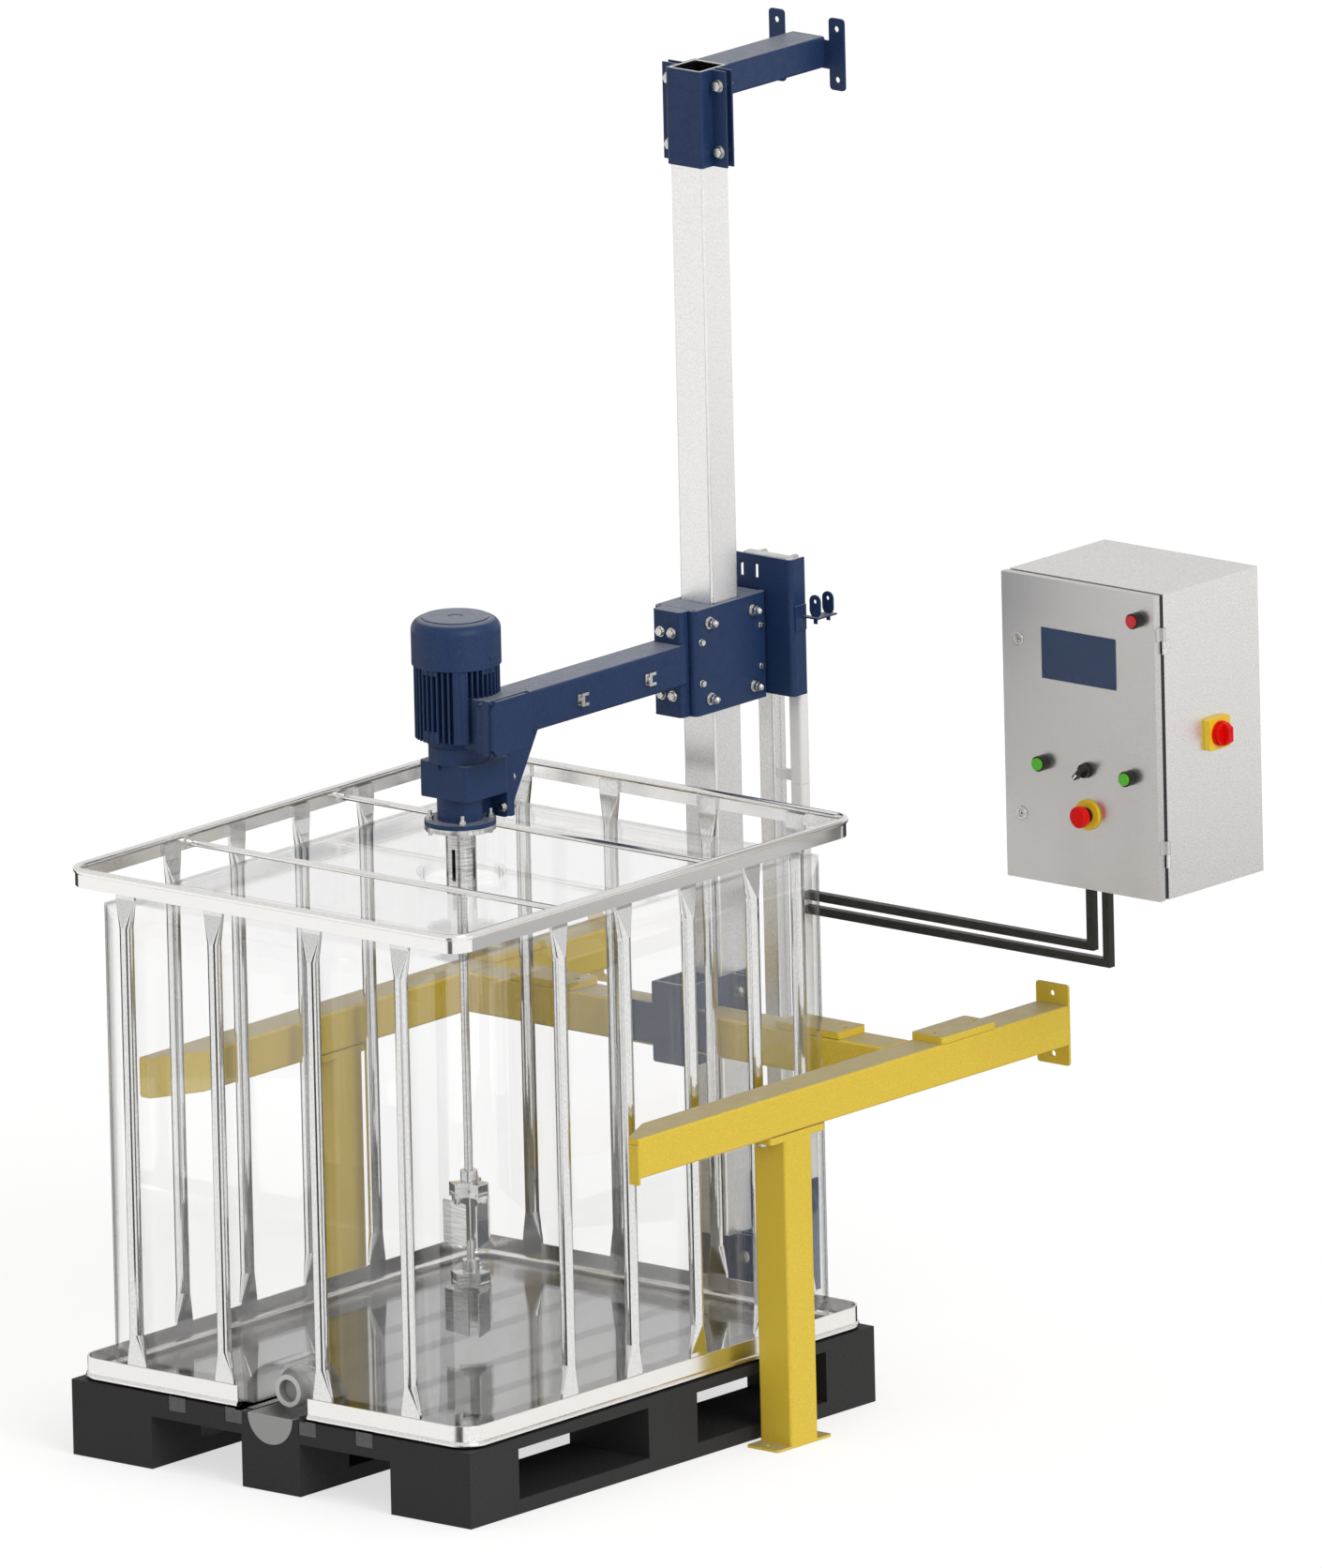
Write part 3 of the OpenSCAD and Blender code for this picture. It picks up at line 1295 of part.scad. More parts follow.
module lift_bolts() color(steel) {
    arm_clips();
    for (a = [45 : 90 : 315]) rotate(a) translate([stud_r, 0, 0]) {
        translate([0, 0, flange_z - 22]) cylinder(d = 8, h = 49);
        translate([0, 0, flange_z + 9]) cylinder(d = 16, h = 1.6);
        translate([0, 0, flange_z + 10.6]) cylinder(d = 14, h = 6.5, $fn = 6);
        translate([0, 0, flange_z - 16.5]) cylinder(d = 14, h = 6.5, $fn = 6);
    }
    for (s = [-1, 1], z = [bracket_z + 20, gear_z + 20]) {
        if (z < gear_z) bolt_y(s * foot_x, z, gear_back, 34, 10);
        else rod_y(s * foot_x, z, gear_back - 20, gear_back + 34, 10);
        nut_y(s * foot_x, z, gear_back + 24, 10);
    }
    for (x = [-1, 1], z = [-1, 1]) {
        bolt_y(x * 14, carriage_z + z * 62, hat_y, 20, 10);
        nut_y(x * 14, carriage_z + z * 62, hat_y + side_t, 10);
    }
    for (s = [-1, 1], y = [-1, 1], z = [-1, 1]) mirror([s > 0 ? 0 : 1, 0, 0]) {
        yc = column_y + y * screw_y;
        zc = carriage_z + z * screw_dz;
        rod_x(yc, zc, plate_in - 10, plate_x + 1, 7.8 - 0.1);
        rod_x(yc, zc, plate_x, plate_x + 1.5, 14);
        rod_x(yc, zc, plate_x + 1.5, plate_x + 7, 11.5);
    }
}

module piston_rod() color(steel) {
    foot = barrel_foot + 4;
    translate([0, barrel_y, foot]) cylinder(d = barrel_bore - 2 * fit, h = 30);
    translate([0, barrel_y, foot + 29]) cylinder(d = rod_d, h = cross_z - foot - 29);
    along_x(-pin_x - 14, pin_x + 14) translate([barrel_y, cross_z]) rounded(24, 20, 3);
    for (s = [-1, 1]) rod_y(s * pin_x, cross_z, web_y + channel_t, pin_end, 14);
}

module mixer_shaft() color(steel) {
    translate([0, 0, stub_z]) cylinder(d = stub_d, h = flange_z + 33 - stub_z);
    translate([0, 0, stub_z - 12]) cylinder(d1 = shaft_d, d2 = stub_d, h = 12);
    translate([0, 0, low_collar_z - 52]) cylinder(d = shaft_d, h = stub_z - low_collar_z + 52);
    translate([0, 0, lantern_z + 22]) cylinder(d = lantern_d - 18, h = 72);
}

// A hub: the clamp collar, three forks under it and their pins
module hub(z) {
    b = shaft_d / 2 + 0.01;
    reach = hinge_r + 5;
    difference() {
        union() {
            translate([0, 0, z - 33]) cylinder(r = hub_r, h = 33);
            for (i = [0 : blades - 1]) rotate(i * 360 / blades) {
                box(hub_r - 3, reach, -pin_reach, pin_reach, z - 26, z - 23);
                for (s = [-1, 1]) translate([hub_r * 0.35, s > 0 ? lug_gap / 2 : -pin_reach, z - 51])
                    cube([reach - hub_r * 0.35, lug_t, 28]);
                translate([hinge_r, -pin_reach - 2, z - pin_drop]) rotate([-90, 0, 0])
                    cylinder(d = hinge_d, h = 2 * pin_reach + 4);
            }
        }
        translate([0, 0, z - 60]) cylinder(r = b, h = 70);
    }
    rotate(60) translate([0, 0, z - 12]) rotate([0, 90, 0]) translate([0, 0, hub_r - 1])
        cylinder(d = 8, h = 3);
}

module impeller_hubs() color(steel) {
    hub(low_collar_z);
    hub(up_collar_z);
}

// One folding blade, hanging from its pin
module blade(z, i) color(steel) {
    zp = z - pin_drop;
    web_w = lug_gap - 2 * gap;
    web_z = zp - hinge_d / 2 - 13;
    rotate(i * 360 / blades) translate([hinge_r, 0, 0]) difference() {
        union() {
            translate([0, -web_w / 2, zp]) rotate([-90, 0, 0]) cylinder(d = hinge_d + 4, h = web_w);
            box(-blade_t / 2, blade_t / 2, -web_w / 2, web_w / 2, web_z - 4, zp);
            translate([0, 0, web_z - blade_l + 16]) rotate(blade_pitch)
                translate([-blade_t / 2, -blade_w / 2, 0]) cube([blade_t, blade_w, blade_l - 16]);
        }
        translate([0, -web_w, zp]) rotate([-90, 0, 0]) cylinder(d = hinge_d + 2 * fit, h = 2 * web_w);
    }
}
module blade_upper_1() blade(up_collar_z, 0);
module blade_upper_2() blade(up_collar_z, 1);
module blade_upper_3() blade(up_collar_z, 2);
module blade_lower_1() blade(low_collar_z, 0);
module blade_lower_2() blade(low_collar_z, 1);
module blade_lower_3() blade(low_collar_z, 2);

controls = [[red_x, red_z], [controls_x - green_dx, green_z], [controls_x + green_dx, green_z],
    [controls_x, green_z]];

module door() color(steel) {
    t = cab_t;
    x0 = cab_left + gap;
    x1 = cab_right - gap;
    difference() {
        union() {
            difference() {
                box(x0, x1, door_front, door_back, cab_z, cab_top);
                box(x0 + t, x1 - t, door_front + t, door_back + 1, cab_z + t, cab_top - t);
            }
            for (s = [-1, 1]) {
                z = lock_zc + s * hinge_dz;
                rod_y(lock_x, lock_zc + s * lock_dz, door_front - 2, door_back - 4, 24);
                box(cab_right - 1, cab_right + 2, door_front + 4, hinge_y - 3, z + gap, z + 26);
                difference() {
                    union() {
                        translate([hinge_x, hinge_y, z + gap]) cylinder(d = 9, h = 26 - gap);
                        box(cab_right, hinge_x, hinge_y - 4.5, hinge_y - 3, z + gap, z + 26);
                    }
                    translate([hinge_x, hinge_y, z - 1]) cylinder(d = 4 + 2 * fit, h = 30);
                }
            }
        }
        for (c = controls) rod_y(c[0], c[1], door_front - 1, door_front + t + 1, 22);
        rod_y(controls_x, estop_z, door_front - 1, door_front + t + 1, 22);
        for (s = [-1, 1]) rod_y(lock_x, lock_zc + s * lock_dz, door_front - 3, door_back, 14 + 2 * fit);
        box(cab_x - screen_w / 2 + 6, cab_x + screen_w / 2 - 6, door_front - 1, door_front + t + 1,
            screen_z - screen_h / 2 + 6, screen_z + screen_h / 2 - 6);
    }
}

// A black collar through the door with its contact block behind
module fitting(x, z) {
    y = door_front;
    difference() {
        union() {
            rod_y(x, z, y - 19, y, cap_d + 6);
            rod_y(x, z, y - 1, y + 8, 21.8);
            box(x - 15, x + 15, y + 7, y + 44, z - 20, z + 20);
        }
        rod_y(x, z, y - 20, y - 8, cap_d + 2 * gap);
        rod_y(x, z, y - 10, y + 18, 6 + 2 * gap);
    }
}

module door_fittings() color(black) {
    y = door_front;
    for (i = [0 : 2]) fitting(controls[i][0], controls[i][1]);
    difference() {
        union() {
            rod_y(controls_x, green_z, y - 5, y, cap_d + 6);
            rod_y(controls_x, green_z, y - 1, y + 8, 21.8);
            box(controls_x - 15, controls_x + 15, y + 7, y + 44, green_z - 20, green_z + 20);
        }
        rod_y(controls_x, green_z, y - 6, y + 18, 8 + 2 * fit);
    }
    difference() {
        union() {
            rod_y(controls_x, estop_z, y - 10, y, 30);
            rod_y(controls_x, estop_z, y - 1, y + 8, 21.8);
            box(controls_x - 15, controls_x + 15, y + 7, y + 44, estop_z - 20, estop_z + 20);
        }
        rod_y(controls_x, estop_z, y - 11, y + 18, 16 + 2 * gap);
    }
    x0 = cab_left + gap + cab_t;
    x1 = cab_right - gap - cab_t;
    z0 = cab_z + cab_t;
    z1 = cab_top - cab_t;
    for (x = [x0, x1 - 12]) box(x, x + 12, door_back - 6, cab_front - gap, z0, z1);
    for (z = [z0, z1 - 12]) box(x0 + 12.02, x1 - 12.02, door_back - 6, cab_front - gap, z, z + 12);
}

module estop_collar() color("#f2c81e") {
    difference() {
        rod_y(controls_x, estop_z, door_front - 5, door_front, 60);
        rod_y(controls_x, estop_z, door_front - 6, door_front + 1, 30.1);
    }
}

module screen() color("#2b4063") {
    box(cab_x - screen_w / 2, cab_x + screen_w / 2, door_front - 2, door_front,
        screen_z - screen_h / 2, screen_z + screen_h / 2);
    box(cab_x - screen_w / 2 + 7, cab_x + screen_w / 2 - 7, door_front - 1, door_front + 36,
        screen_z - screen_h / 2 + 7, screen_z + screen_h / 2 - 7);
}

// A button cap with its stem
module button_cap(i) {
    c = controls[i];
    y = door_front;
    rod_y(c[0], c[1], y - 23, y - 12, cap_d);
    rod_y(c[0], c[1], y - 13, y + 12, 6);
}
module red_button() color("#d42f33") button_cap(0);
module green_button_left() color("#5fc42a") button_cap(1);
module green_button_right() color("#5fc42a") button_cap(2);

module selector() color(black) {
    y = door_front - 5 - gap;
    rod_y(controls_x, green_z, y - 9, y, 27);
    rod_y(controls_x, green_z, y - 1, y + 20, 8);
    translate([controls_x, 0, green_z]) rotate([0, -45, 0]) along_y(y - 21, y - 8)
        translate([-4, 0]) rounded(34, 10, 4);
}

module emergency_stop() color("#ff1a0a") {
    y = door_front;
    difference() {
        union() {
            rod_y(controls_x, estop_z, y - 30, y - 20, 42);
            rod_y(controls_x, estop_z, y - 21, y + 12, 16);
            translate([controls_x, y - 28, estop_z]) rotate([90, 0, 0]) cylinder(d1 = 42, d2 = 34, h = 5);
        }
    }
}

// A quarter-turn lock: its key stud and the tongue behind the door
module lock(s) color("#c9c9c9") {
    z = lock_zc + s * lock_dz;
    y = door_front;
    difference() {
        rod_y(lock_x, z, y - 1, cab_front + 3 + gap - 0.02, 14);
        translate([lock_x, y - 2, z]) rotate([-90, 0, 0]) cylinder(d = 8, h = 8, $fn = 3);
    }
    box(lock_x - 8, lock_x + 8, cab_front + 3 + gap, cab_front + 6, z - 34, z + 8);
}
module lock_upper() lock(1);
module lock_lower() lock(-1);

pallet();
tote_tray();
cage_tubes();
cage_top_rail();
cage_cross_rods();
tote_bottle();
outlet_valve();
side_beams();
rear_beam();
guard_posts();
beam_plates();
column();
top_clamp();
wall_bracket();
beam_clamp();
foot_clamp();
frame_bolts();
lift_cylinder();
cable_duct();
wiring_ducts();
cabinet_body();
mounting_panel();
main_switch_plate();
main_switch_knob();
carriage_sides();
carriage_front();
rear_channel();
roller_axles();
roller_front_upper();
roller_front_lower();
roller_rear_upper();
roller_rear_lower();
arm();
motor_bracket();
gearbox();
motor();
fan_cowl();
terminal_box();
lantern();
lift_bolts();
piston_rod();
mixer_shaft();
impeller_hubs();
blade_upper_1();
blade_upper_2();
blade_upper_3();
blade_lower_1();
blade_lower_2();
blade_lower_3();
door();
door_fittings();
estop_collar();
screen();
red_button();
green_button_left();
green_button_right();
selector();
emergency_stop();
lock_upper();
lock_lower();
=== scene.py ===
# %% [markdown]
# # A mixing station for a 1000 litre tote
#
# The solids of the station come from its CAD source, already in their right
# places, in metres. This notebook dresses them: it sets up the camera and a
# plain studio, gives each surface the finish of the real material, and adds
# the small pieces that the CAD leaves to it. We start by loading the packed
# model, and keep its box, because nothing that we add may make it larger.

# %% Load the model
import math

import bmesh
import bpy
from mathutils import Matrix, Vector


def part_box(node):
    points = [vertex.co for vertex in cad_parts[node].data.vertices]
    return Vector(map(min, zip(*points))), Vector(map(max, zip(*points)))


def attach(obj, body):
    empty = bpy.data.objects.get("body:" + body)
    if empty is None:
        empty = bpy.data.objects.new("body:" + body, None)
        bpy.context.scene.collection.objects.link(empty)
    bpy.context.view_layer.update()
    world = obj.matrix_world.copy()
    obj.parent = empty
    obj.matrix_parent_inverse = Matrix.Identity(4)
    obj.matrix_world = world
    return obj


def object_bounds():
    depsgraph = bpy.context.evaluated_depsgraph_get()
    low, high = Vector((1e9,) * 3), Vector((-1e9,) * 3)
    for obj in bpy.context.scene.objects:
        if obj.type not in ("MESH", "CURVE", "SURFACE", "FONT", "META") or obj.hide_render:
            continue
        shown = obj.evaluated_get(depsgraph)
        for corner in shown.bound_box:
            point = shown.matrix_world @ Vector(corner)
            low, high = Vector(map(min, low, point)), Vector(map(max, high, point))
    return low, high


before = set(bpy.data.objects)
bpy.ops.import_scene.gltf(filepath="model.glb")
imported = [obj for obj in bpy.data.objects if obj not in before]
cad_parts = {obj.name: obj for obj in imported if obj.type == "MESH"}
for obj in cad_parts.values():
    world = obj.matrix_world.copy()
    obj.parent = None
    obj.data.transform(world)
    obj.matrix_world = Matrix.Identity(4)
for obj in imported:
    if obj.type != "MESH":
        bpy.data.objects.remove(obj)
cad_low, cad_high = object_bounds()
cad_low, cad_high = tuple(cad_low), tuple(cad_high)
print("CAD box from", [round(v, 3) for v in cad_low], "to", [round(v, 3) for v in cad_high])

# %% [markdown]
# ## The camera
#
# The photograph was taken from far away with a long lens, so upright edges
# stay almost parallel. The angles below were solved from the pallet, the cage
# and the cabinet. A long lens in Blender is a large focal length on a normal
# sensor: focal length in pixels, times sensor height, over image height. The
# camera stands where the aim point falls on its measured pixel, so the lens
# needs no shift.

# %% Place the camera
IMAGE_WIDTH, IMAGE_HEIGHT = 1410, 1672
AZIMUTH, ELEVATION, ROLL = (math.radians(a) for a in (40.483158, 13.755059, -1.339203))
FOCAL_PIXELS = 60000.0
DISTANCE = 107.726587
AIM_POINT = Vector((0.0, 0.0, 0.8))
AIM_PIXEL = (496.196, 1090.748)
SENSOR = 36.0
NEAREST, FARTHEST = 1.0, 400.0

back = Vector((math.sin(AZIMUTH) * math.cos(ELEVATION),
               -math.cos(AZIMUTH) * math.cos(ELEVATION), math.sin(ELEVATION)))
level = Vector((math.cos(AZIMUTH), math.sin(AZIMUTH), 0.0))
rise = back.cross(level)
right = level * math.cos(ROLL) + rise * math.sin(ROLL)
up = rise * math.cos(ROLL) - level * math.sin(ROLL)
offset_x = (AIM_PIXEL[0] - IMAGE_WIDTH / 2) / FOCAL_PIXELS
offset_y = (IMAGE_HEIGHT / 2 - AIM_PIXEL[1]) / FOCAL_PIXELS
stand = AIM_POINT + DISTANCE * (back - offset_x * right - offset_y * up)

lens = bpy.data.cameras.new("camera")
lens.sensor_fit = "AUTO"
lens.sensor_width = SENSOR
lens.sensor_height = SENSOR
lens.lens = FOCAL_PIXELS * SENSOR / IMAGE_HEIGHT
lens.clip_start, lens.clip_end = NEAREST, FARTHEST
camera = bpy.data.objects.new("camera", lens)
scene = bpy.context.scene
scene.collection.objects.link(camera)
camera.matrix_world = Matrix((
    (right.x, up.x, back.x, stand.x), (right.y, up.y, back.y, stand.y),
    (right.z, up.z, back.z, stand.z), (0, 0, 0, 1)))
scene.camera = camera
print(f"camera {DISTANCE:.1f} m away, {lens.lens:.0f} mm lens")

# %% [markdown]
# ## The light
#
# Enamel, steel and clear plastic show what stands around them, so the room is
# part of every finish. The world lights the object at a level at which a
# colour comes out about as it is written, and a soft sun from the right gives
# the beams their lit side. A camera, glossy or transmission ray sees a plain
# backdrop instead. A Light Path node tells the kinds of ray apart. Both the
# world and the floor ask it, so the question is a helper.

# %% Light the room
SKY_LIGHT = 0.60
SKY_COLOUR = (1.0, 0.995, 0.985, 1)
BACKDROP_LIGHT = 1.0
SUN_LIGHT = 1.25
SUN_SPREAD = math.radians(35)
SUN_DIRECTION = Vector((-0.82, 0.18, -0.54))

scene.view_settings.view_transform = "Standard"


def seen_directly(tree):
    """A socket that is 1 for camera, glossy and transmission rays, and else 0."""
    ray = tree.nodes.new("ShaderNodeLightPath")
    value = ray.outputs["Is Camera Ray"]
    for kind in ("Is Glossy Ray", "Is Transmission Ray"):
        either = tree.nodes.new("ShaderNodeMath")
        either.operation = "MAXIMUM"
        tree.links.new(value, either.inputs[0])
        tree.links.new(ray.outputs[kind], either.inputs[1])
        value = either.outputs[0]
    return value


def pick_by_ray(tree, others, direct, output):
    """Shows one shader to rays that see directly, and the other to the rest."""
    pick = tree.nodes.new("ShaderNodeMixShader")
    end = tree.nodes.new(output)
    tree.links.new(seen_directly(tree), pick.inputs["Fac"])
    tree.links.new(others.outputs[0], pick.inputs[1])
    tree.links.new(direct.outputs[0], pick.inputs[2])
    tree.links.new(pick.outputs[0], end.inputs["Surface"])


world = bpy.data.worlds.new("studio")
scene.world = world
world.use_nodes = True
sky = world.node_tree
sky.nodes.clear()
lighting = sky.nodes.new("ShaderNodeBackground")
lighting.inputs["Color"].default_value = SKY_COLOUR
lighting.inputs["Strength"].default_value = SKY_LIGHT
backdrop = sky.nodes.new("ShaderNodeBackground")
backdrop.inputs["Strength"].default_value = BACKDROP_LIGHT
pick_by_ray(sky, lighting, backdrop, "ShaderNodeOutputWorld")

sun_data = bpy.data.lights.new("soft_sun", "SUN")
sun_data.energy = SUN_LIGHT
sun_data.angle = SUN_SPREAD
sun = bpy.data.objects.new("soft_sun", sun_data)
scene.collection.objects.link(sun)
sun.rotation_mode = "QUATERNION"
sun.rotation_quaternion = SUN_DIRECTION.to_track_quat("-Z", "Y")
print("sky", SKY_LIGHT, "sun", SUN_LIGHT)

# %% [markdown]
# ## The floor
#
# The floor is one large square. It glows a little under its diffuse coat, so
# it is white where nothing shades it and still keeps the object's shadow. It
# lies a millimetre below the ground, so the feet never share its plane.


# %% Lay the floor
FLOOR_SIZE = 60.0
FLOOR_DROP = 0.001
FLOOR_GLOW = 0.66
FLOOR_COAT = 0.45
FLOOR_UNSEEN = 0.8


def new_object(name, shape):
    """Turns a finished bmesh into an object of the scene."""
    mesh = bpy.data.meshes.new(name)
    shape.to_mesh(mesh)
    shape.free()
    made = bpy.data.objects.new(name, mesh)
    scene.collection.objects.link(made)
    return made


def empty_material(name):
    """A material without nodes, to be built from nothing."""
    paint = bpy.data.materials.new(name)
    paint.use_nodes = True
    paint.node_tree.nodes.clear()
    return paint


square = bmesh.new()
bmesh.ops.create_grid(square, x_segments=1, y_segments=1, size=FLOOR_SIZE / 2)
bmesh.ops.translate(square, verts=square.verts, vec=(0, 0, -FLOOR_DROP))
floor = new_object("studio_floor", square)

floor_paint = empty_material("floor_paint")
tree = floor_paint.node_tree
coat = tree.nodes.new("ShaderNodeBsdfDiffuse")
coat.inputs["Color"].default_value = (FLOOR_COAT, FLOOR_COAT, FLOOR_COAT, 1)
glow = tree.nodes.new("ShaderNodeEmission")
glow.inputs["Strength"].default_value = FLOOR_GLOW
both = tree.nodes.new("ShaderNodeAddShader")
plain = tree.nodes.new("ShaderNodeBsdfDiffuse")
plain.inputs["Color"].default_value = (FLOOR_UNSEEN, FLOOR_UNSEEN, FLOOR_UNSEEN, 1)
tree.links.new(coat.outputs[0], both.inputs[0])
tree.links.new(glow.outputs[0], both.inputs[1])
pick_by_ray(tree, plain, both, "ShaderNodeOutputMaterial")
floor.data.materials.append(floor_paint)
print("floor", FLOOR_SIZE, "m wide")

# %% [markdown]
# ## The dark cloths
#
# Bright tube in an all-white room looks flat, and a photographer hangs dark
# cloth to draw its edges. Here a cloth is an arc spun from a profile: it lies
# on the floor, its far rim turns up, and only glossy rays see it. The wide one
# behind the object darkens the sides of the tubes. The narrow one in front
# draws a dark line along each tube. The grey one at the right tones down the
# faces that look that way.


# %% Spread the cloths
CLOTH_HEIGHT = 0.003
CLOTH_STEPS = 24


def dark_cloth(name, first, last, near, far, wall, level):
    """An arc of cloth, between two angles in degrees from the camera's side."""
    shape = bmesh.new()
    profile = ((near, 0, CLOTH_HEIGHT), (far, 0, CLOTH_HEIGHT), (far, 0, CLOTH_HEIGHT + wall))
    line = [shape.verts.new(point) for point in profile]
    rims = [shape.edges.new(pair) for pair in zip(line, line[1:])]
    bmesh.ops.spin(shape, geom=line + rims, cent=(0, 0, 0), axis=(0, 0, 1),
                   angle=math.radians(last - first), steps=CLOTH_STEPS, use_merge=False)
    turn = Matrix.Rotation(math.radians(first) + AZIMUTH - math.pi / 2, 4, "Z")
    bmesh.ops.transform(shape, matrix=turn, verts=shape.verts)
    cloth = new_object(name, shape)
    paint = empty_material(name)
    shine = paint.node_tree.nodes.new("ShaderNodeEmission")
    shine.inputs["Strength"].default_value = level
    end = paint.node_tree.nodes.new("ShaderNodeOutputMaterial")
    paint.node_tree.links.new(shine.outputs[0], end.inputs["Surface"])
    cloth.data.materials.append(paint)
    cloth.visible_camera = cloth.visible_diffuse = False
    cloth.visible_shadow = cloth.visible_transmission = False


dark_cloth("studio_cloth_rear", first=116, last=244, near=0.85, far=5.5, wall=0.4, level=0.04)
dark_cloth("studio_cloth_front", first=-26, last=-7, near=1.1, far=9.0, wall=0.01, level=0.06)
dark_cloth("studio_cloth_right", first=84, last=116, near=2.2, far=5.4, wall=0.01, level=0.42)
print("three cloths")

# %% [markdown]
# ## Finishes
#
# Every finish starts the same way: a Principled shader, a pattern in the
# object's own coordinates, and a Bevel node that rounds hard edges for light.
# A CAD edge is perfectly sharp, while a folded or cut edge catches a thin line
# of light. The Bevel node gives that line and leaves the mesh alone. A finish
# may also ask how far a surface looks to the sky, to paint a sheen on what
# faces up: painted sheen, where the light's glare would fall.


# %% Helpers for finishes
BEVEL_SAMPLES = 4
SRGB_KNEE, SRGB_SLOPE, SRGB_SHIFT, SRGB_POWER = 0.04045, 12.92, 0.055, 2.4
MIDDLE = (0.3, 0.7)
CONTRAST = (0.35, 0.65)
UPWARD = (0.80, 0.99)


def linear(text):
    """A colour written as in a paint list, made linear for the shader."""
    parts = [int(text[i:i + 2], 16) / 255 for i in (1, 3, 5)]
    return tuple(p / SRGB_SLOPE if p <= SRGB_KNEE else ((p + SRGB_SHIFT) / (1 + SRGB_SHIFT)) ** SRGB_POWER
                 for p in parts) + (1.0,)


class Finish:
    """A material under construction, with short words for its nodes."""

    def __init__(self, name, colour, roughness, metallic=0.0, specular=0.5, edge=0.0015):
        self.material = bpy.data.materials.new(name)
        self.material.use_nodes = True
        self.tree = self.material.node_tree
        self.shader = self.tree.nodes["Principled BSDF"]
        self.shader.inputs["Base Color"].default_value = linear(colour)
        self.shader.inputs["Roughness"].default_value = roughness
        self.shader.inputs["Metallic"].default_value = metallic
        self.shader.inputs["Specular IOR Level"].default_value = specular
        self.place = self.tree.nodes.new("ShaderNodeTexCoord").outputs["Object"]
        self.normal = None
        if edge:
            bevel = self.tree.nodes.new("ShaderNodeBevel")
            bevel.samples = BEVEL_SAMPLES
            bevel.inputs["Radius"].default_value = edge
            self.normal = bevel.outputs["Normal"]
            self.tree.links.new(self.normal, self.shader.inputs["Normal"])

    def pattern(self, grains, detail=2.0, stretch=(1, 1, 1)):
        """Noise with that many grains in a metre."""
        mapping = self.tree.nodes.new("ShaderNodeMapping")
        mapping.inputs["Scale"].default_value = stretch
        self.tree.links.new(self.place, mapping.inputs["Vector"])
        noise = self.tree.nodes.new("ShaderNodeTexNoise")
        noise.inputs["Scale"].default_value = grains
        noise.inputs["Detail"].default_value = detail
        self.tree.links.new(mapping.outputs["Vector"], noise.inputs["Vector"])
        return noise.outputs["Fac"]

    def spread(self, value, low, high, between=MIDDLE):
        """Stretches a part of a pattern over a range of values."""
        node = self.tree.nodes.new("ShaderNodeMapRange")
        node.inputs["From Min"].default_value = between[0]
        node.inputs["From Max"].default_value = between[1]
        node.inputs["To Min"].default_value = low
        node.inputs["To Max"].default_value = high
        self.tree.links.new(value, node.inputs["Value"])
        return node.outputs["Result"]

    def mixed(self, value, one, other):
        """A colour that runs from one to the other as the value rises."""
        mix = self.tree.nodes.new("ShaderNodeMix")
        mix.data_type = "RGBA"
        factor, first, second = mix.inputs[0], mix.inputs[6], mix.inputs[7]
        for socket, colour in ((first, one), (second, other)):
            if isinstance(colour, str):
                socket.default_value = linear(colour)
            else:
                self.tree.links.new(colour, socket)
        self.tree.links.new(value, factor)
        return mix.outputs[2]

    def colour_between(self, value, one, other):
        """Uses a mixed colour as the surface's colour."""
        self.tree.links.new(self.mixed(value, one, other), self.shader.inputs["Base Color"])

    def part_of(self, vector):
        """The third part of a vector: a height, or how far a normal looks up."""
        parts = self.tree.nodes.new("ShaderNodeSeparateXYZ")
        self.tree.links.new(vector, parts.inputs[0])
        return parts.outputs["Z"]

    def calculated(self, operation, value, other):
        """One step of arithmetic on a socket, with a number or a second socket."""
        node = self.tree.nodes.new("ShaderNodeMath")
        node.operation = operation
        self.tree.links.new(value, node.inputs[0])
        if isinstance(other, float):
            node.inputs[1].default_value = other
        else:
            self.tree.links.new(other, node.inputs[1])
        return node.outputs[0]

    def facing_up(self, speckle):
        """How much painted sheen lies here: none on a side, speckled on a top."""
        geometry = self.tree.nodes.new("ShaderNodeNewGeometry")
        upward = self.spread(self.part_of(geometry.outputs["Normal"]), 0.0, 1.0, UPWARD)
        return self.calculated("MULTIPLY", upward, speckle)

    def roughen(self, value, low, high):
        """Lets the roughness run between two values."""
        self.tree.links.new(self.spread(value, low, high), self.shader.inputs["Roughness"])

    def bump(self, value, strength, depth):
        """Adds relief on top of what the normal is so far."""
        node = self.tree.nodes.new("ShaderNodeBump")
        node.inputs["Strength"].default_value = strength
        node.inputs["Distance"].default_value = depth
        self.tree.links.new(value, node.inputs["Height"])
        if self.normal is not None:
            self.tree.links.new(self.normal, node.inputs["Normal"])
        self.normal = node.outputs["Normal"]
        self.tree.links.new(self.normal, self.shader.inputs["Normal"])


print("finish helpers ready")
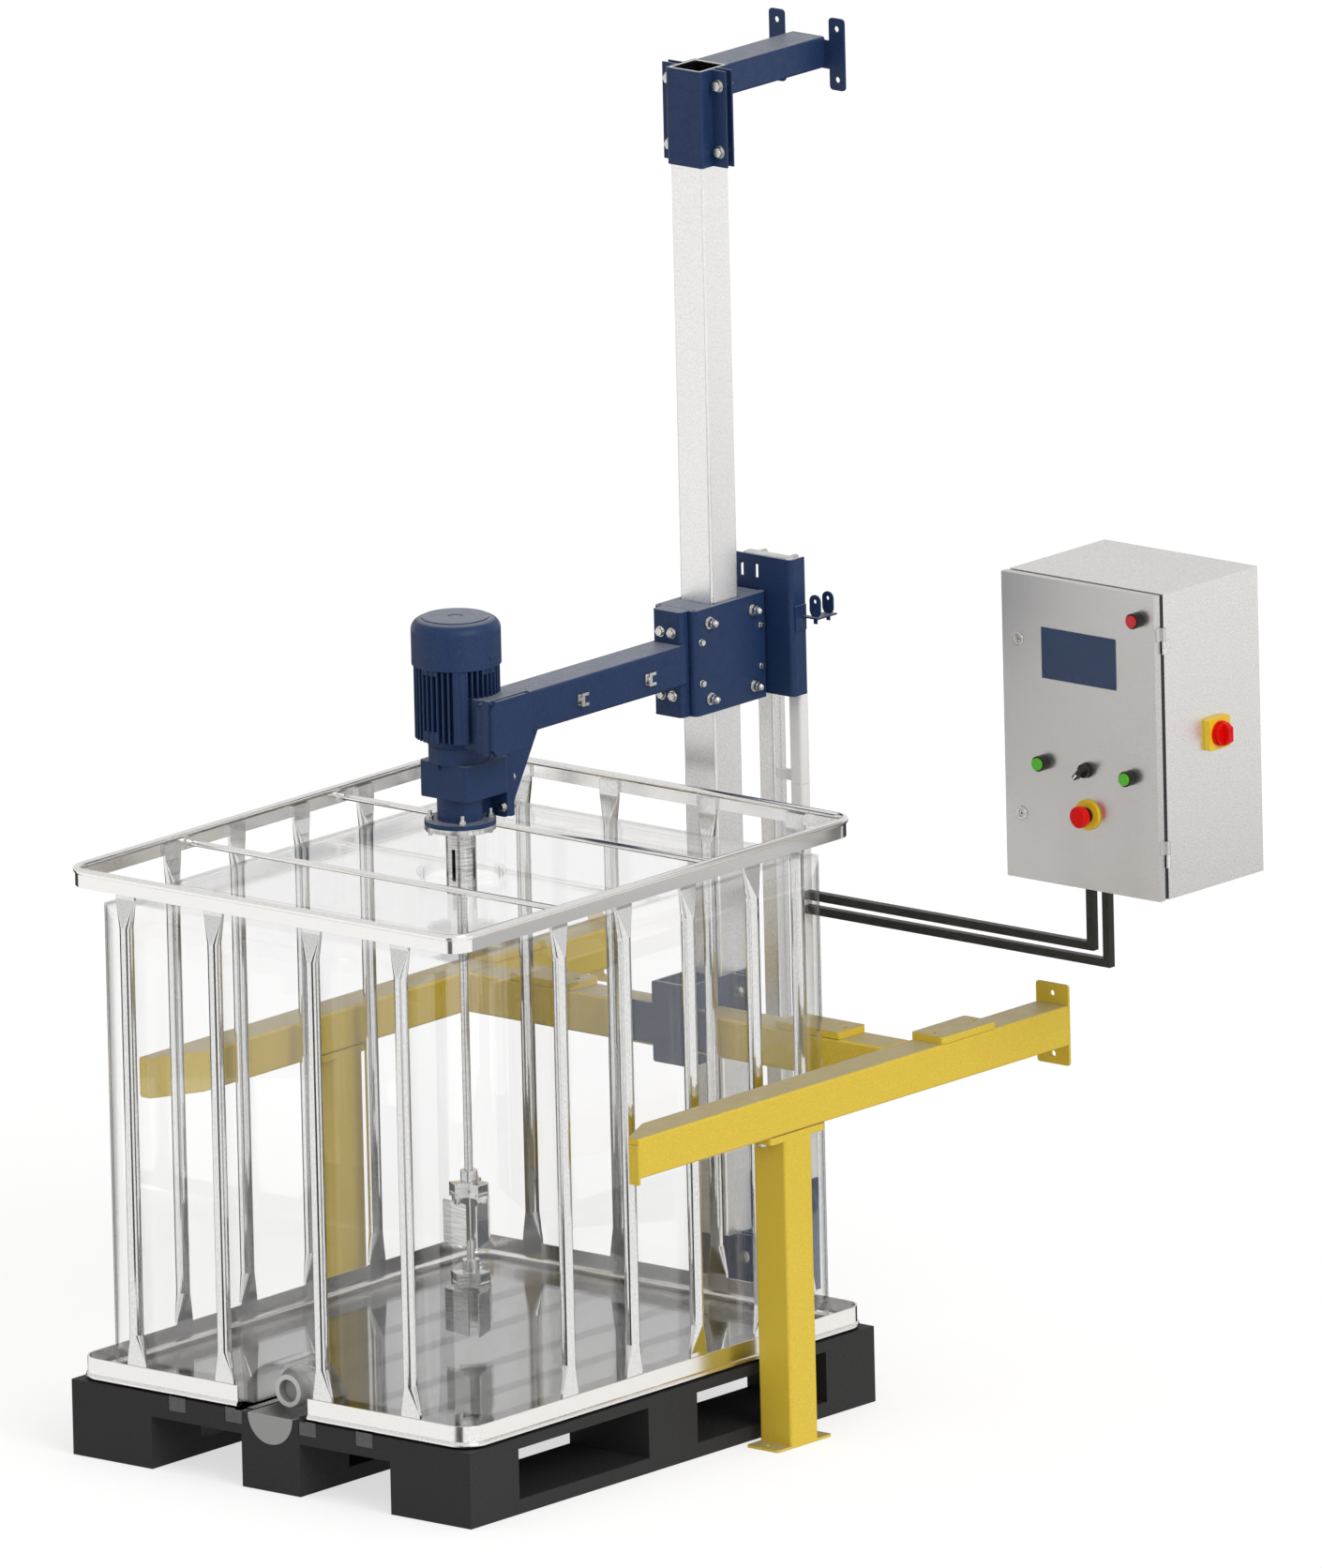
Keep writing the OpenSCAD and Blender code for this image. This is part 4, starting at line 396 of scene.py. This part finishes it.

# %% [markdown]
# ## Enamel on steel
#
# The arm, clamps and gearmotor carry a dark blue machine enamel, and the
# guard frame a yellow one. Sprayed enamel is never quite even: it has an
# orange peel of a few millimetres, a faint cloudiness, and a fine speckle
# where overspray dried. Two noises, one large for the tone and one small for
# the relief, give that at any distance. The tops are painted greyer than the
# sides: a painted sheen, the pale glare that light lays on upward faces. It
# follows the upward look of the surface and breaks up in the speckle.


# %% Mix the enamels
ENAMEL_EDGE = 0.0018
CLOUD_GRAINS, SPECK_GRAINS, GLOSS_GRAINS = 560.0, 900.0, 45.0
PEEL_GRAINS, PEEL_DEPTH = 330.0, 0.0004
SPRAY_GRAINS, SPRAY_DEPTH, SPRAY_SHARE = 1500.0, 0.00012, 0.8
SPECK_SPREAD = 0.25


def enamel(name, colour, cloudy, top_sheen, roughness, specular, peel, sheen_level):
    """A sprayed enamel: its two tones, its painted top sheen, its gloss and its relief."""
    made = Finish(name, colour, roughness, specular=specular, edge=ENAMEL_EDGE)
    clouds = made.mixed(made.spread(made.pattern(CLOUD_GRAINS), 0.0, 1.0, CONTRAST), colour, cloudy)
    specks = made.spread(made.pattern(SPECK_GRAINS, 1.0), sheen_level - SPECK_SPREAD, sheen_level + SPECK_SPREAD, CONTRAST)
    # Painted sheen: the tops turn to the pale grey where the light's glare would fall.
    made.colour_between(made.facing_up(specks), clouds, top_sheen)
    made.roughen(made.pattern(GLOSS_GRAINS), roughness - 0.06, roughness + 0.08)
    made.bump(made.pattern(PEEL_GRAINS, 1.0), peel, PEEL_DEPTH)
    made.bump(made.pattern(SPRAY_GRAINS, 1.0), peel * SPRAY_SHARE, SPRAY_DEPTH)
    return made.material


# The third colour of each enamel is the grey of its painted top sheen.
blue_enamel = enamel("blue_enamel", "#1b2e52", "#294069", "#9a9ea8",
                     roughness=0.42, specular=0.25, peel=0.10, sheen_level=0.62)
yellow_enamel = enamel("yellow_enamel", "#d6b62f", "#f0d24a", "#a79c80",
                       roughness=0.42, specular=0.40, peel=0.14, sheen_level=0.75)
print("enamels:", blue_enamel.name, yellow_enamel.name)

# %% [markdown]
# ## Steel
#
# Several steels lie side by side on this machine. The cage and rail are
# polished tube. The cabinet is ground sheet with a short, dense grain, so fine
# that it reads as a bright haze. The column and the cylinder are ground in the
# same way and brighter. The bolts are zinc plated, duller and slightly
# mottled. All of them are one metal shader. The grain is in the roughness, in
# a very shallow bump and finely in the colour, and never large, because a
# cloud in the colour would look like stained metal. Stretch below 1 draws the
# grain out along that axis.


# %% Work the steels
STEEL_EDGE = 0.0012
GRAIN_RELIEF = 0.15
DULLEST, BRIGHTEST = 1.2, 0.8


def steel(name, dark, bright, roughness, grains, stretch, depth):
    """A metal with its grain in the gloss, the relief and the colour."""
    made = Finish(name, bright, roughness, metallic=1.0, edge=STEEL_EDGE)
    lines = made.pattern(grains, stretch=stretch)
    made.roughen(lines, roughness * BRIGHTEST, roughness * DULLEST)
    made.bump(lines, GRAIN_RELIEF, depth)
    made.colour_between(made.spread(lines, 0.0, 1.0, CONTRAST), dark, bright)
    return made.material


bright_tube = steel("bright_tube", "#d4d4d3", "#e9e9e8",
                    roughness=0.08, grains=900.0, stretch=(1, 1, 0.2), depth=0.00001)
bright_rail = steel("bright_rail", "#e6e4e1", "#fbfaf8",
                    roughness=0.16, grains=560.0, stretch=(1, 1, 1), depth=0.00010)
ground_sheet = steel("ground_sheet", "#cfcdcb", "#f6f5f3",
                     roughness=0.34, grains=620.0, stretch=(1, 1, 0.7), depth=0.00014)
door_sheet = steel("door_sheet", "#bfbdbb", "#dddbd9",
                   roughness=0.30, grains=1000.0, stretch=(1, 1, 0.6), depth=0.00010)
column_steel = steel("column_steel", "#e6e4e2", "#ffffff",
                     roughness=0.38, grains=620.0, stretch=(1, 1, 0.4), depth=0.00012)
turned_steel = steel("turned_steel", "#b9b9b8", "#dcdcdb",
                     roughness=0.16, grains=500.0, stretch=(0.05, 0.05, 1), depth=0.00006)
zinc_plate = steel("zinc_plate", "#bdbcb8", "#dddcd9",
                   roughness=0.22, grains=300.0, stretch=(1, 1, 1), depth=0.00006)
print("seven steels")

# %% [markdown]
# ## The tray
#
# The tray is one pressed sheet, but it doesn't look like one: its band and
# bead stand in the light, while its floor under the bottle and the ribs below
# it lie in shade. So its colour is painted darker below a height, within a
# millimetre just above the floor: painted shade.

# %% Work the tray's sheet
TRAY_GRAINS = 560.0
TRAY_DEPTH = 0.0001
FLOOR_TO_BAND = (0.1525, 0.1535)

tray = Finish("tray_sheet", "#f0efed", 0.18, metallic=1.0, edge=STEEL_EDGE)
grain = tray.pattern(TRAY_GRAINS)
tray.roughen(grain, 0.14, 0.24)
tray.bump(grain, GRAIN_RELIEF, TRAY_DEPTH)
# Painted shade: the floor and ribs below the band take a dark grey.
shaded = tray.mixed(grain, "#3a3a3a", "#6e6e6e")
band = tray.mixed(tray.spread(grain, 0.0, 1.0, CONTRAST), "#dddbd8", "#fbfaf8")
tray.colour_between(tray.spread(tray.part_of(tray.place), 0.0, 1.0, FLOOR_TO_BAND), shaded, band)
tray_sheet = tray.material
print("tray shaded below", FLOOR_TO_BAND[0], "m")

# %% [markdown]
# ## Plastics
#
# The pallet is black, moulded with a fine grain and scuffed by forks. The
# outlet is a grey moulding whose grain is coarse enough to see. The small caps
# and knobs are glossy mouldings in signal colours.


# %% Mould the plastics
MOULDED_EDGE = 0.001
MOULDED_DEPTH = 0.0003
SCUFF_SHARE = 0.2
SCUFF_SPREAD = 0.08


def moulded(name, colour, other, roughness, grains, relief, specular=0.4):
    """A moulding: two close tones, scuffs five times as large, a fine relief."""
    made = Finish(name, colour, roughness, specular=specular, edge=MOULDED_EDGE)
    made.colour_between(made.spread(made.pattern(grains), 0.0, 1.0), colour, other)
    made.roughen(made.pattern(grains * SCUFF_SHARE, 3.0), roughness - SCUFF_SPREAD, roughness + SCUFF_SPREAD)
    made.bump(made.pattern(grains, 1.0), relief, MOULDED_DEPTH)
    return made.material


pallet_black = moulded("pallet_black", "#262626", "#323232", 0.62, grains=900.0, relief=0.25, specular=0.25)
valve_grey = moulded("valve_grey", "#858585", "#bdbdbd", 0.60, grains=650.0, relief=0.25)
duct_black = moulded("duct_black", "#1d1d1c", "#2a2a28", 0.42, grains=500.0, relief=0.10)
duct_white = moulded("duct_white", "#fafafa", "#ffffff", 0.35, grains=300.0, relief=0.05)
fitting_black = moulded("fitting_black", "#101010", "#1a1a1a", 0.30, grains=900.0, relief=0.05)
roller_nylon = moulded("roller_nylon", "#dcd9cf", "#e8e6df", 0.40, grains=300.0, relief=0.06)
signal_yellow = moulded("signal_yellow", "#e9c21a", "#f0cc2a", 0.35, grains=800.0, relief=0.08)
signal_red = moulded("signal_red", "#dc0502", "#ea0d05", 0.28, grains=500.0, relief=0.03, specular=0.15)
lamp_red = moulded("lamp_red", "#c9262b", "#d93338", 0.25, grains=500.0, relief=0.03)
signal_green = moulded("signal_green", "#4fb51e", "#60c92c", 0.28, grains=500.0, relief=0.03)
display_blue = moulded("display_blue", "#2a3e60", "#2c4163", 0.30, grains=60.0, relief=0.0)
print("eleven mouldings")

# %% [markdown]
# ## The clear bottle
#
# The bottle is blown from clear plastic, so thin that light passes almost
# straight. What is left of it is a weak mirror: a few parts in a hundred where
# one looks square at the wall, and nearly all of the light at its edges. A
# refracting shader would do this too, but each of its many walls costs light
# and time. So the shader here is a white mirror whose cover grows with the
# slant of the view.

# %% Blow the bottle
WAVES_IN_A_METRE = 3.0
SQUARE_COVER, EDGE_COVER = 0.05, 0.85
SLANT_POWER = 5.0
WHOLE = (0.0, 1.0)

clear = Finish("clear_bottle", "#ffffff", 0.02, metallic=1.0, edge=0.0)
clear.roughen(clear.pattern(WAVES_IN_A_METRE, 1.0), 0.0, 0.05)
slant = clear.tree.nodes.new("ShaderNodeLayerWeight")
slant.inputs["Blend"].default_value = 0.5
steep = clear.calculated("POWER", slant.outputs["Facing"], SLANT_POWER)
cover = clear.spread(steep, SQUARE_COVER, EDGE_COVER, WHOLE)
clear.tree.links.new(cover, clear.shader.inputs["Alpha"])
clear_bottle = clear.material
print("bottle covers from", SQUARE_COVER, "to", EDGE_COVER)

# %% [markdown]
# ## Dressing the solids
#
# Each CAD solid takes one finish, so a list of finishes, each with the solids
# that wear it, dresses the whole station. Rollers and blades come in sets,
# and loops write their names.

# %% Give each solid its finish
ROLLERS = [f"roller_{side}_{end}" for side in ("front", "rear") for end in ("upper", "lower")]
BLADES = [f"blade_{end}_{number}" for end in ("upper", "lower") for number in (1, 2, 3)]
WEARERS = [
    (pallet_black, ["pallet"]),
    (tray_sheet, ["tote_tray"]),
    (bright_tube, ["cage_tubes"]),
    (bright_rail, ["cage_top_rail", "cage_cross_rods"]),
    (clear_bottle, ["tote_bottle"]),
    (valve_grey, ["outlet_valve"]),
    (yellow_enamel, ["side_beams", "rear_beam", "guard_posts", "beam_plates"]),
    (blue_enamel, ["top_clamp", "wall_bracket", "beam_clamp", "foot_clamp"]),
    (blue_enamel, ["carriage_sides", "carriage_front", "rear_channel", "arm", "motor_bracket"]),
    (blue_enamel, ["gearbox", "motor", "fan_cowl", "terminal_box"]),
    (column_steel, ["column", "lift_cylinder"]),
    (zinc_plate, ["frame_bolts", "roller_axles", "lift_bolts", "mounting_panel", "lock_upper", "lock_lower"]),
    (turned_steel, ["lantern", "piston_rod", "mixer_shaft", "impeller_hubs"] + BLADES),
    (roller_nylon, ROLLERS),
    (duct_white, ["cable_duct"]),
    (duct_black, ["wiring_ducts"]),
    (ground_sheet, ["cabinet_body"]),
    (door_sheet, ["door"]),
    (fitting_black, ["door_fittings", "selector"]),
    (display_blue, ["screen"]),
    (signal_yellow, ["main_switch_plate", "estop_collar"]),
    (signal_red, ["main_switch_knob", "emergency_stop"]),
    (lamp_red, ["red_button"]),
    (signal_green, ["green_button_left", "green_button_right"]),
]
dressed = 0
for finish, names in WEARERS:
    for name in names:
        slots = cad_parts[name].data.materials
        slots.clear()
        slots.append(finish)
        dressed += 1
print(dressed, "of", len(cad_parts), "solids dressed")

# %% [markdown]
# ## Turned and cut pieces
#
# What is left are small pieces on top of the solids. Most are round, so one
# helper turns a profile of a few points round an axis, as a lathe would, and
# another closes the mesh, turns its faces outwards, gives it a finish and
# says which body it rides on.


# %% Helpers for pieces
MILLIMETRE = 0.001
MERGE_DISTANCE = 1e-6
SHARP_ANGLE = math.radians(35)
TOWARDS_FRONT = Vector((0, -1, 0))


def turned(profile, steps=48):
    """A closed profile of (radius, height) in millimetres, turned round Z."""
    shape = bmesh.new()
    points = [shape.verts.new((r * MILLIMETRE, 0, h * MILLIMETRE)) for r, h in profile]
    rims = [shape.edges.new(pair) for pair in zip(points, points[1:] + points[:1])]
    bmesh.ops.spin(shape, geom=points + rims, cent=(0, 0, 0), axis=(0, 0, 1),
                   angle=2 * math.pi, steps=steps, use_merge=True)
    return shape


def set_at(shape, place, towards=TOWARDS_FRONT):
    """Moves a shape so that its Z axis points along towards at a place in metres."""
    turn = Vector(towards).to_track_quat("Z", "Y").to_matrix().to_4x4()
    bmesh.ops.transform(shape, matrix=Matrix.Translation(place) @ turn, verts=shape.verts)
    return shape


def points_in(geometry):
    """The points among what an operator made."""
    return [item for item in geometry if isinstance(item, bmesh.types.BMVert)]


def piece(name, shape, finish, body, smooth=True):
    """Makes the object, merges what the spin doubled, and lets it ride on a body."""
    bmesh.ops.remove_doubles(shape, verts=shape.verts, dist=MERGE_DISTANCE)
    bmesh.ops.recalc_face_normals(shape, faces=shape.faces)
    made = new_object(name, shape)
    mesh = made.data
    mesh.materials.append(finish)
    if smooth:
        mesh.shade_smooth()
        mesh.set_sharp_from_angle(angle=SHARP_ANGLE)
    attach(made, body)
    print(name, len(mesh.polygons), "faces")


# %% [markdown]
# ## The outlet
#
# The outlet's mouth has a pale lip, and a little way inside sits the closed
# disc of its valve. Both are turned. The lip's profile is bevelled, since a
# moulded lip has no sharp edge. The mouth lies a little behind the bottle's
# front, and its axis at a fixed height over the pallet.

# %% Turn the outlet's lip and disc
PALLET_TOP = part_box("pallet")[1][2]
MOUTH_SETBACK = 0.027
MOUTH_RISE = 0.038
DISC_SETBACK = 0.014
LIP_PROFILE = [(22.2, -0.5), (22.2, 1.6), (23.0, 2.4), (31.0, 2.4), (31.8, 1.6), (31.8, -0.5)]
DISC_PROFILE = [(0.0, 0.0), (0.0, 3.0), (10.0, 2.6), (18.0, 1.4), (21.9, -0.6), (21.9, -3.0), (0.0, -3.0)]

mouth = Vector((0.0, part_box("tote_bottle")[0][1] + MOUTH_SETBACK, PALLET_TOP + MOUTH_RISE))
inside = mouth + Vector((0, DISC_SETBACK, 0))
lip_white = moulded("lip_white", "#dededd", "#ececeb", 0.45, grains=400.0, relief=0.06)
piece("outlet_lip", set_at(turned(LIP_PROFILE), mouth), lip_white, "root")
piece("outlet_disc", set_at(turned(DISC_PROFILE), inside), valve_grey, "root")
print("outlet's mouth at", [round(v, 3) for v in mouth])

# %% [markdown]
# ## The tray's bead ends
#
# The tray's bead is sheet rolled into a tube, and where it is cut for the
# valve one looks into its hollow, which lies in shade. A thin black disc with
# a dished face stands in for that shade without cutting the solid: painted
# shade. The bead runs below the rail, flush with it, on the pallet's top.

# %% Set the painted shade in the bead ends
BEAD_RADIUS = 0.0075
VALVE_GAP = 0.176
DISH_STEPS = 32
DISH_PROFILE = [(0.0, 0.15), (4.0, 0.15), (5.6, 0.5), (6.1, 0.3), (6.1, -0.4), (0.0, -0.4)]

bead_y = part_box("cage_top_rail")[0][1] + BEAD_RADIUS
# A near-black moulding that stands in for shade: painted shade, in the bead ends and the column.
painted_shade_black = moulded("painted_shade_black", "#050505", "#0c0c0c", 0.85, grains=400.0, relief=0.05, specular=0.1)
for side, sign in (("left", -1), ("right", 1)):
    cut = (sign * VALVE_GAP / 2, bead_y, PALLET_TOP + BEAD_RADIUS)
    dish = set_at(turned(DISH_PROFILE, DISH_STEPS), cut, (-sign, 0, 0))
    # Each disc is painted shade in an open end of the bead.
    piece("bead_end_" + side, dish, painted_shade_black, "root")

# %% [markdown]
# ## Inside the column
#
# The column is a long open tube, and daylight dies a hand's breadth below its
# rim. A short black cup of sheet that stops some way down paints that shade
# in, also where the render's light is even: painted shade. It is one square
# face with rounded corners, whose rim is extruded upwards.

# %% Paint shade into the top of the column
LINER_HALF = 0.0355
LINER_CORNER = 0.004
LINER_DEPTH = 0.30
LINER_SHEET = 0.0004
LINER_DROP = 0.002

column_low, column_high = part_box("column")
shade_cup = bmesh.new()
bmesh.ops.create_grid(shade_cup, x_segments=1, y_segments=1, size=LINER_HALF)
bmesh.ops.bevel(shade_cup, geom=list(shade_cup.verts), offset=LINER_CORNER, segments=4, profile=0.5,
                affect="VERTICES", material=-1)
walls = bmesh.ops.extrude_edge_only(shade_cup, edges=list(shade_cup.edges))
bmesh.ops.translate(shade_cup, verts=points_in(walls["geom"]), vec=(0, 0, LINER_DEPTH))
bmesh.ops.translate(shade_cup, verts=shade_cup.verts, vec=(
    0, (column_low[1] + column_high[1]) / 2, column_high[2] - LINER_DROP - LINER_DEPTH))
bmesh.ops.recalc_face_normals(shade_cup, faces=shade_cup.faces)
bmesh.ops.reverse_faces(shade_cup, faces=shade_cup.faces)
bmesh.ops.solidify(shade_cup, geom=shade_cup.faces, thickness=LINER_SHEET)
# The black cup is painted shade inside the column's top.
piece("column_painted_shade", shade_cup, painted_shade_black, "root", smooth=False)

# %% [markdown]
# ## The locks' escutcheons
#
# Each lock sits in a round escutcheon that stands about 4 mm off the door. It
# is a turned ring with a bevelled rim. The lock's own solid says where it
# goes: the tongue is centred on the key stud, and reaches a little over it.

# %% Fit the escutcheons
DOOR_BOSS = 0.002
TONGUE_OVER_STUD = 0.008
ROSE_PROFILE = [(7.3, 0.2), (7.3, 3.4), (8.0, 4.2), (12.4, 4.2), (13.6, 3.0), (13.6, 0.2)]

door_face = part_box("door")[0][1] + DOOR_BOSS
for side in ("upper", "lower"):
    lock_low, lock_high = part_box("lock_" + side)
    stud = ((lock_low[0] + lock_high[0]) / 2, door_face, lock_high[2] - TONGUE_OVER_STUD)
    piece("lock_rose_" + side, set_at(turned(ROSE_PROFILE), stud), zinc_plate, "cabinet_door")

# %% [markdown]
# ## The painted highlight on the selector's lever
#
# The rotary switch's lever shows a white highlight along its front edge,
# towards its tip. A white slip that narrows to its end is laid there for it:
# painted highlight. It is one square face, drawn long, narrowed, extruded and
# bevelled, and it rides on the switch, so it turns with the lever. The knob's
# upper right edge is the corner of the selector's box, so the knob's radius
# gives the lever's centre.

# %% Set the painted highlight on the lever
KNOB_RADIUS = 0.0135
HIGHLIGHT_START, HIGHLIGHT_END = 0.0085, 0.0205
HIGHLIGHT_WIDTH, HIGHLIGHT_TIP, HIGHLIGHT_HEIGHT = 0.0048, 0.0022, 0.0005
HIGHLIGHT_BEVEL = 0.00015

selector_low, selector_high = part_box("selector")
centre = Vector((selector_high[0] - KNOB_RADIUS, selector_low[1], selector_high[2] - KNOB_RADIUS))
highlight_strip = bmesh.new()
bmesh.ops.create_grid(highlight_strip, x_segments=1, y_segments=1, size=0.5)
for corner in highlight_strip.verts:
    outer = corner.co.x > 0
    corner.co.y *= HIGHLIGHT_TIP if outer else HIGHLIGHT_WIDTH
    corner.co.x = HIGHLIGHT_END if outer else HIGHLIGHT_START
front = bmesh.ops.extrude_face_region(highlight_strip, geom=list(highlight_strip.faces))
bmesh.ops.translate(highlight_strip, verts=points_in(front["geom"]), vec=(0, 0, HIGHLIGHT_HEIGHT))
bmesh.ops.bevel(highlight_strip, geom=list(highlight_strip.edges), offset=HIGHLIGHT_BEVEL, segments=2, profile=0.5,
                affect="EDGES", material=-1)
along = Vector((-1, 0, -1)).normalized()
across = TOWARDS_FRONT.cross(along)
turn = Matrix((along, across, TOWARDS_FRONT)).transposed().to_4x4()
bmesh.ops.transform(highlight_strip, verts=highlight_strip.verts, matrix=Matrix.Translation(centre) @ turn)
# The white strip is a painted highlight on the lever's front edge.
piece("selector_painted_highlight", highlight_strip, duct_white, "mode_selector", smooth=False)
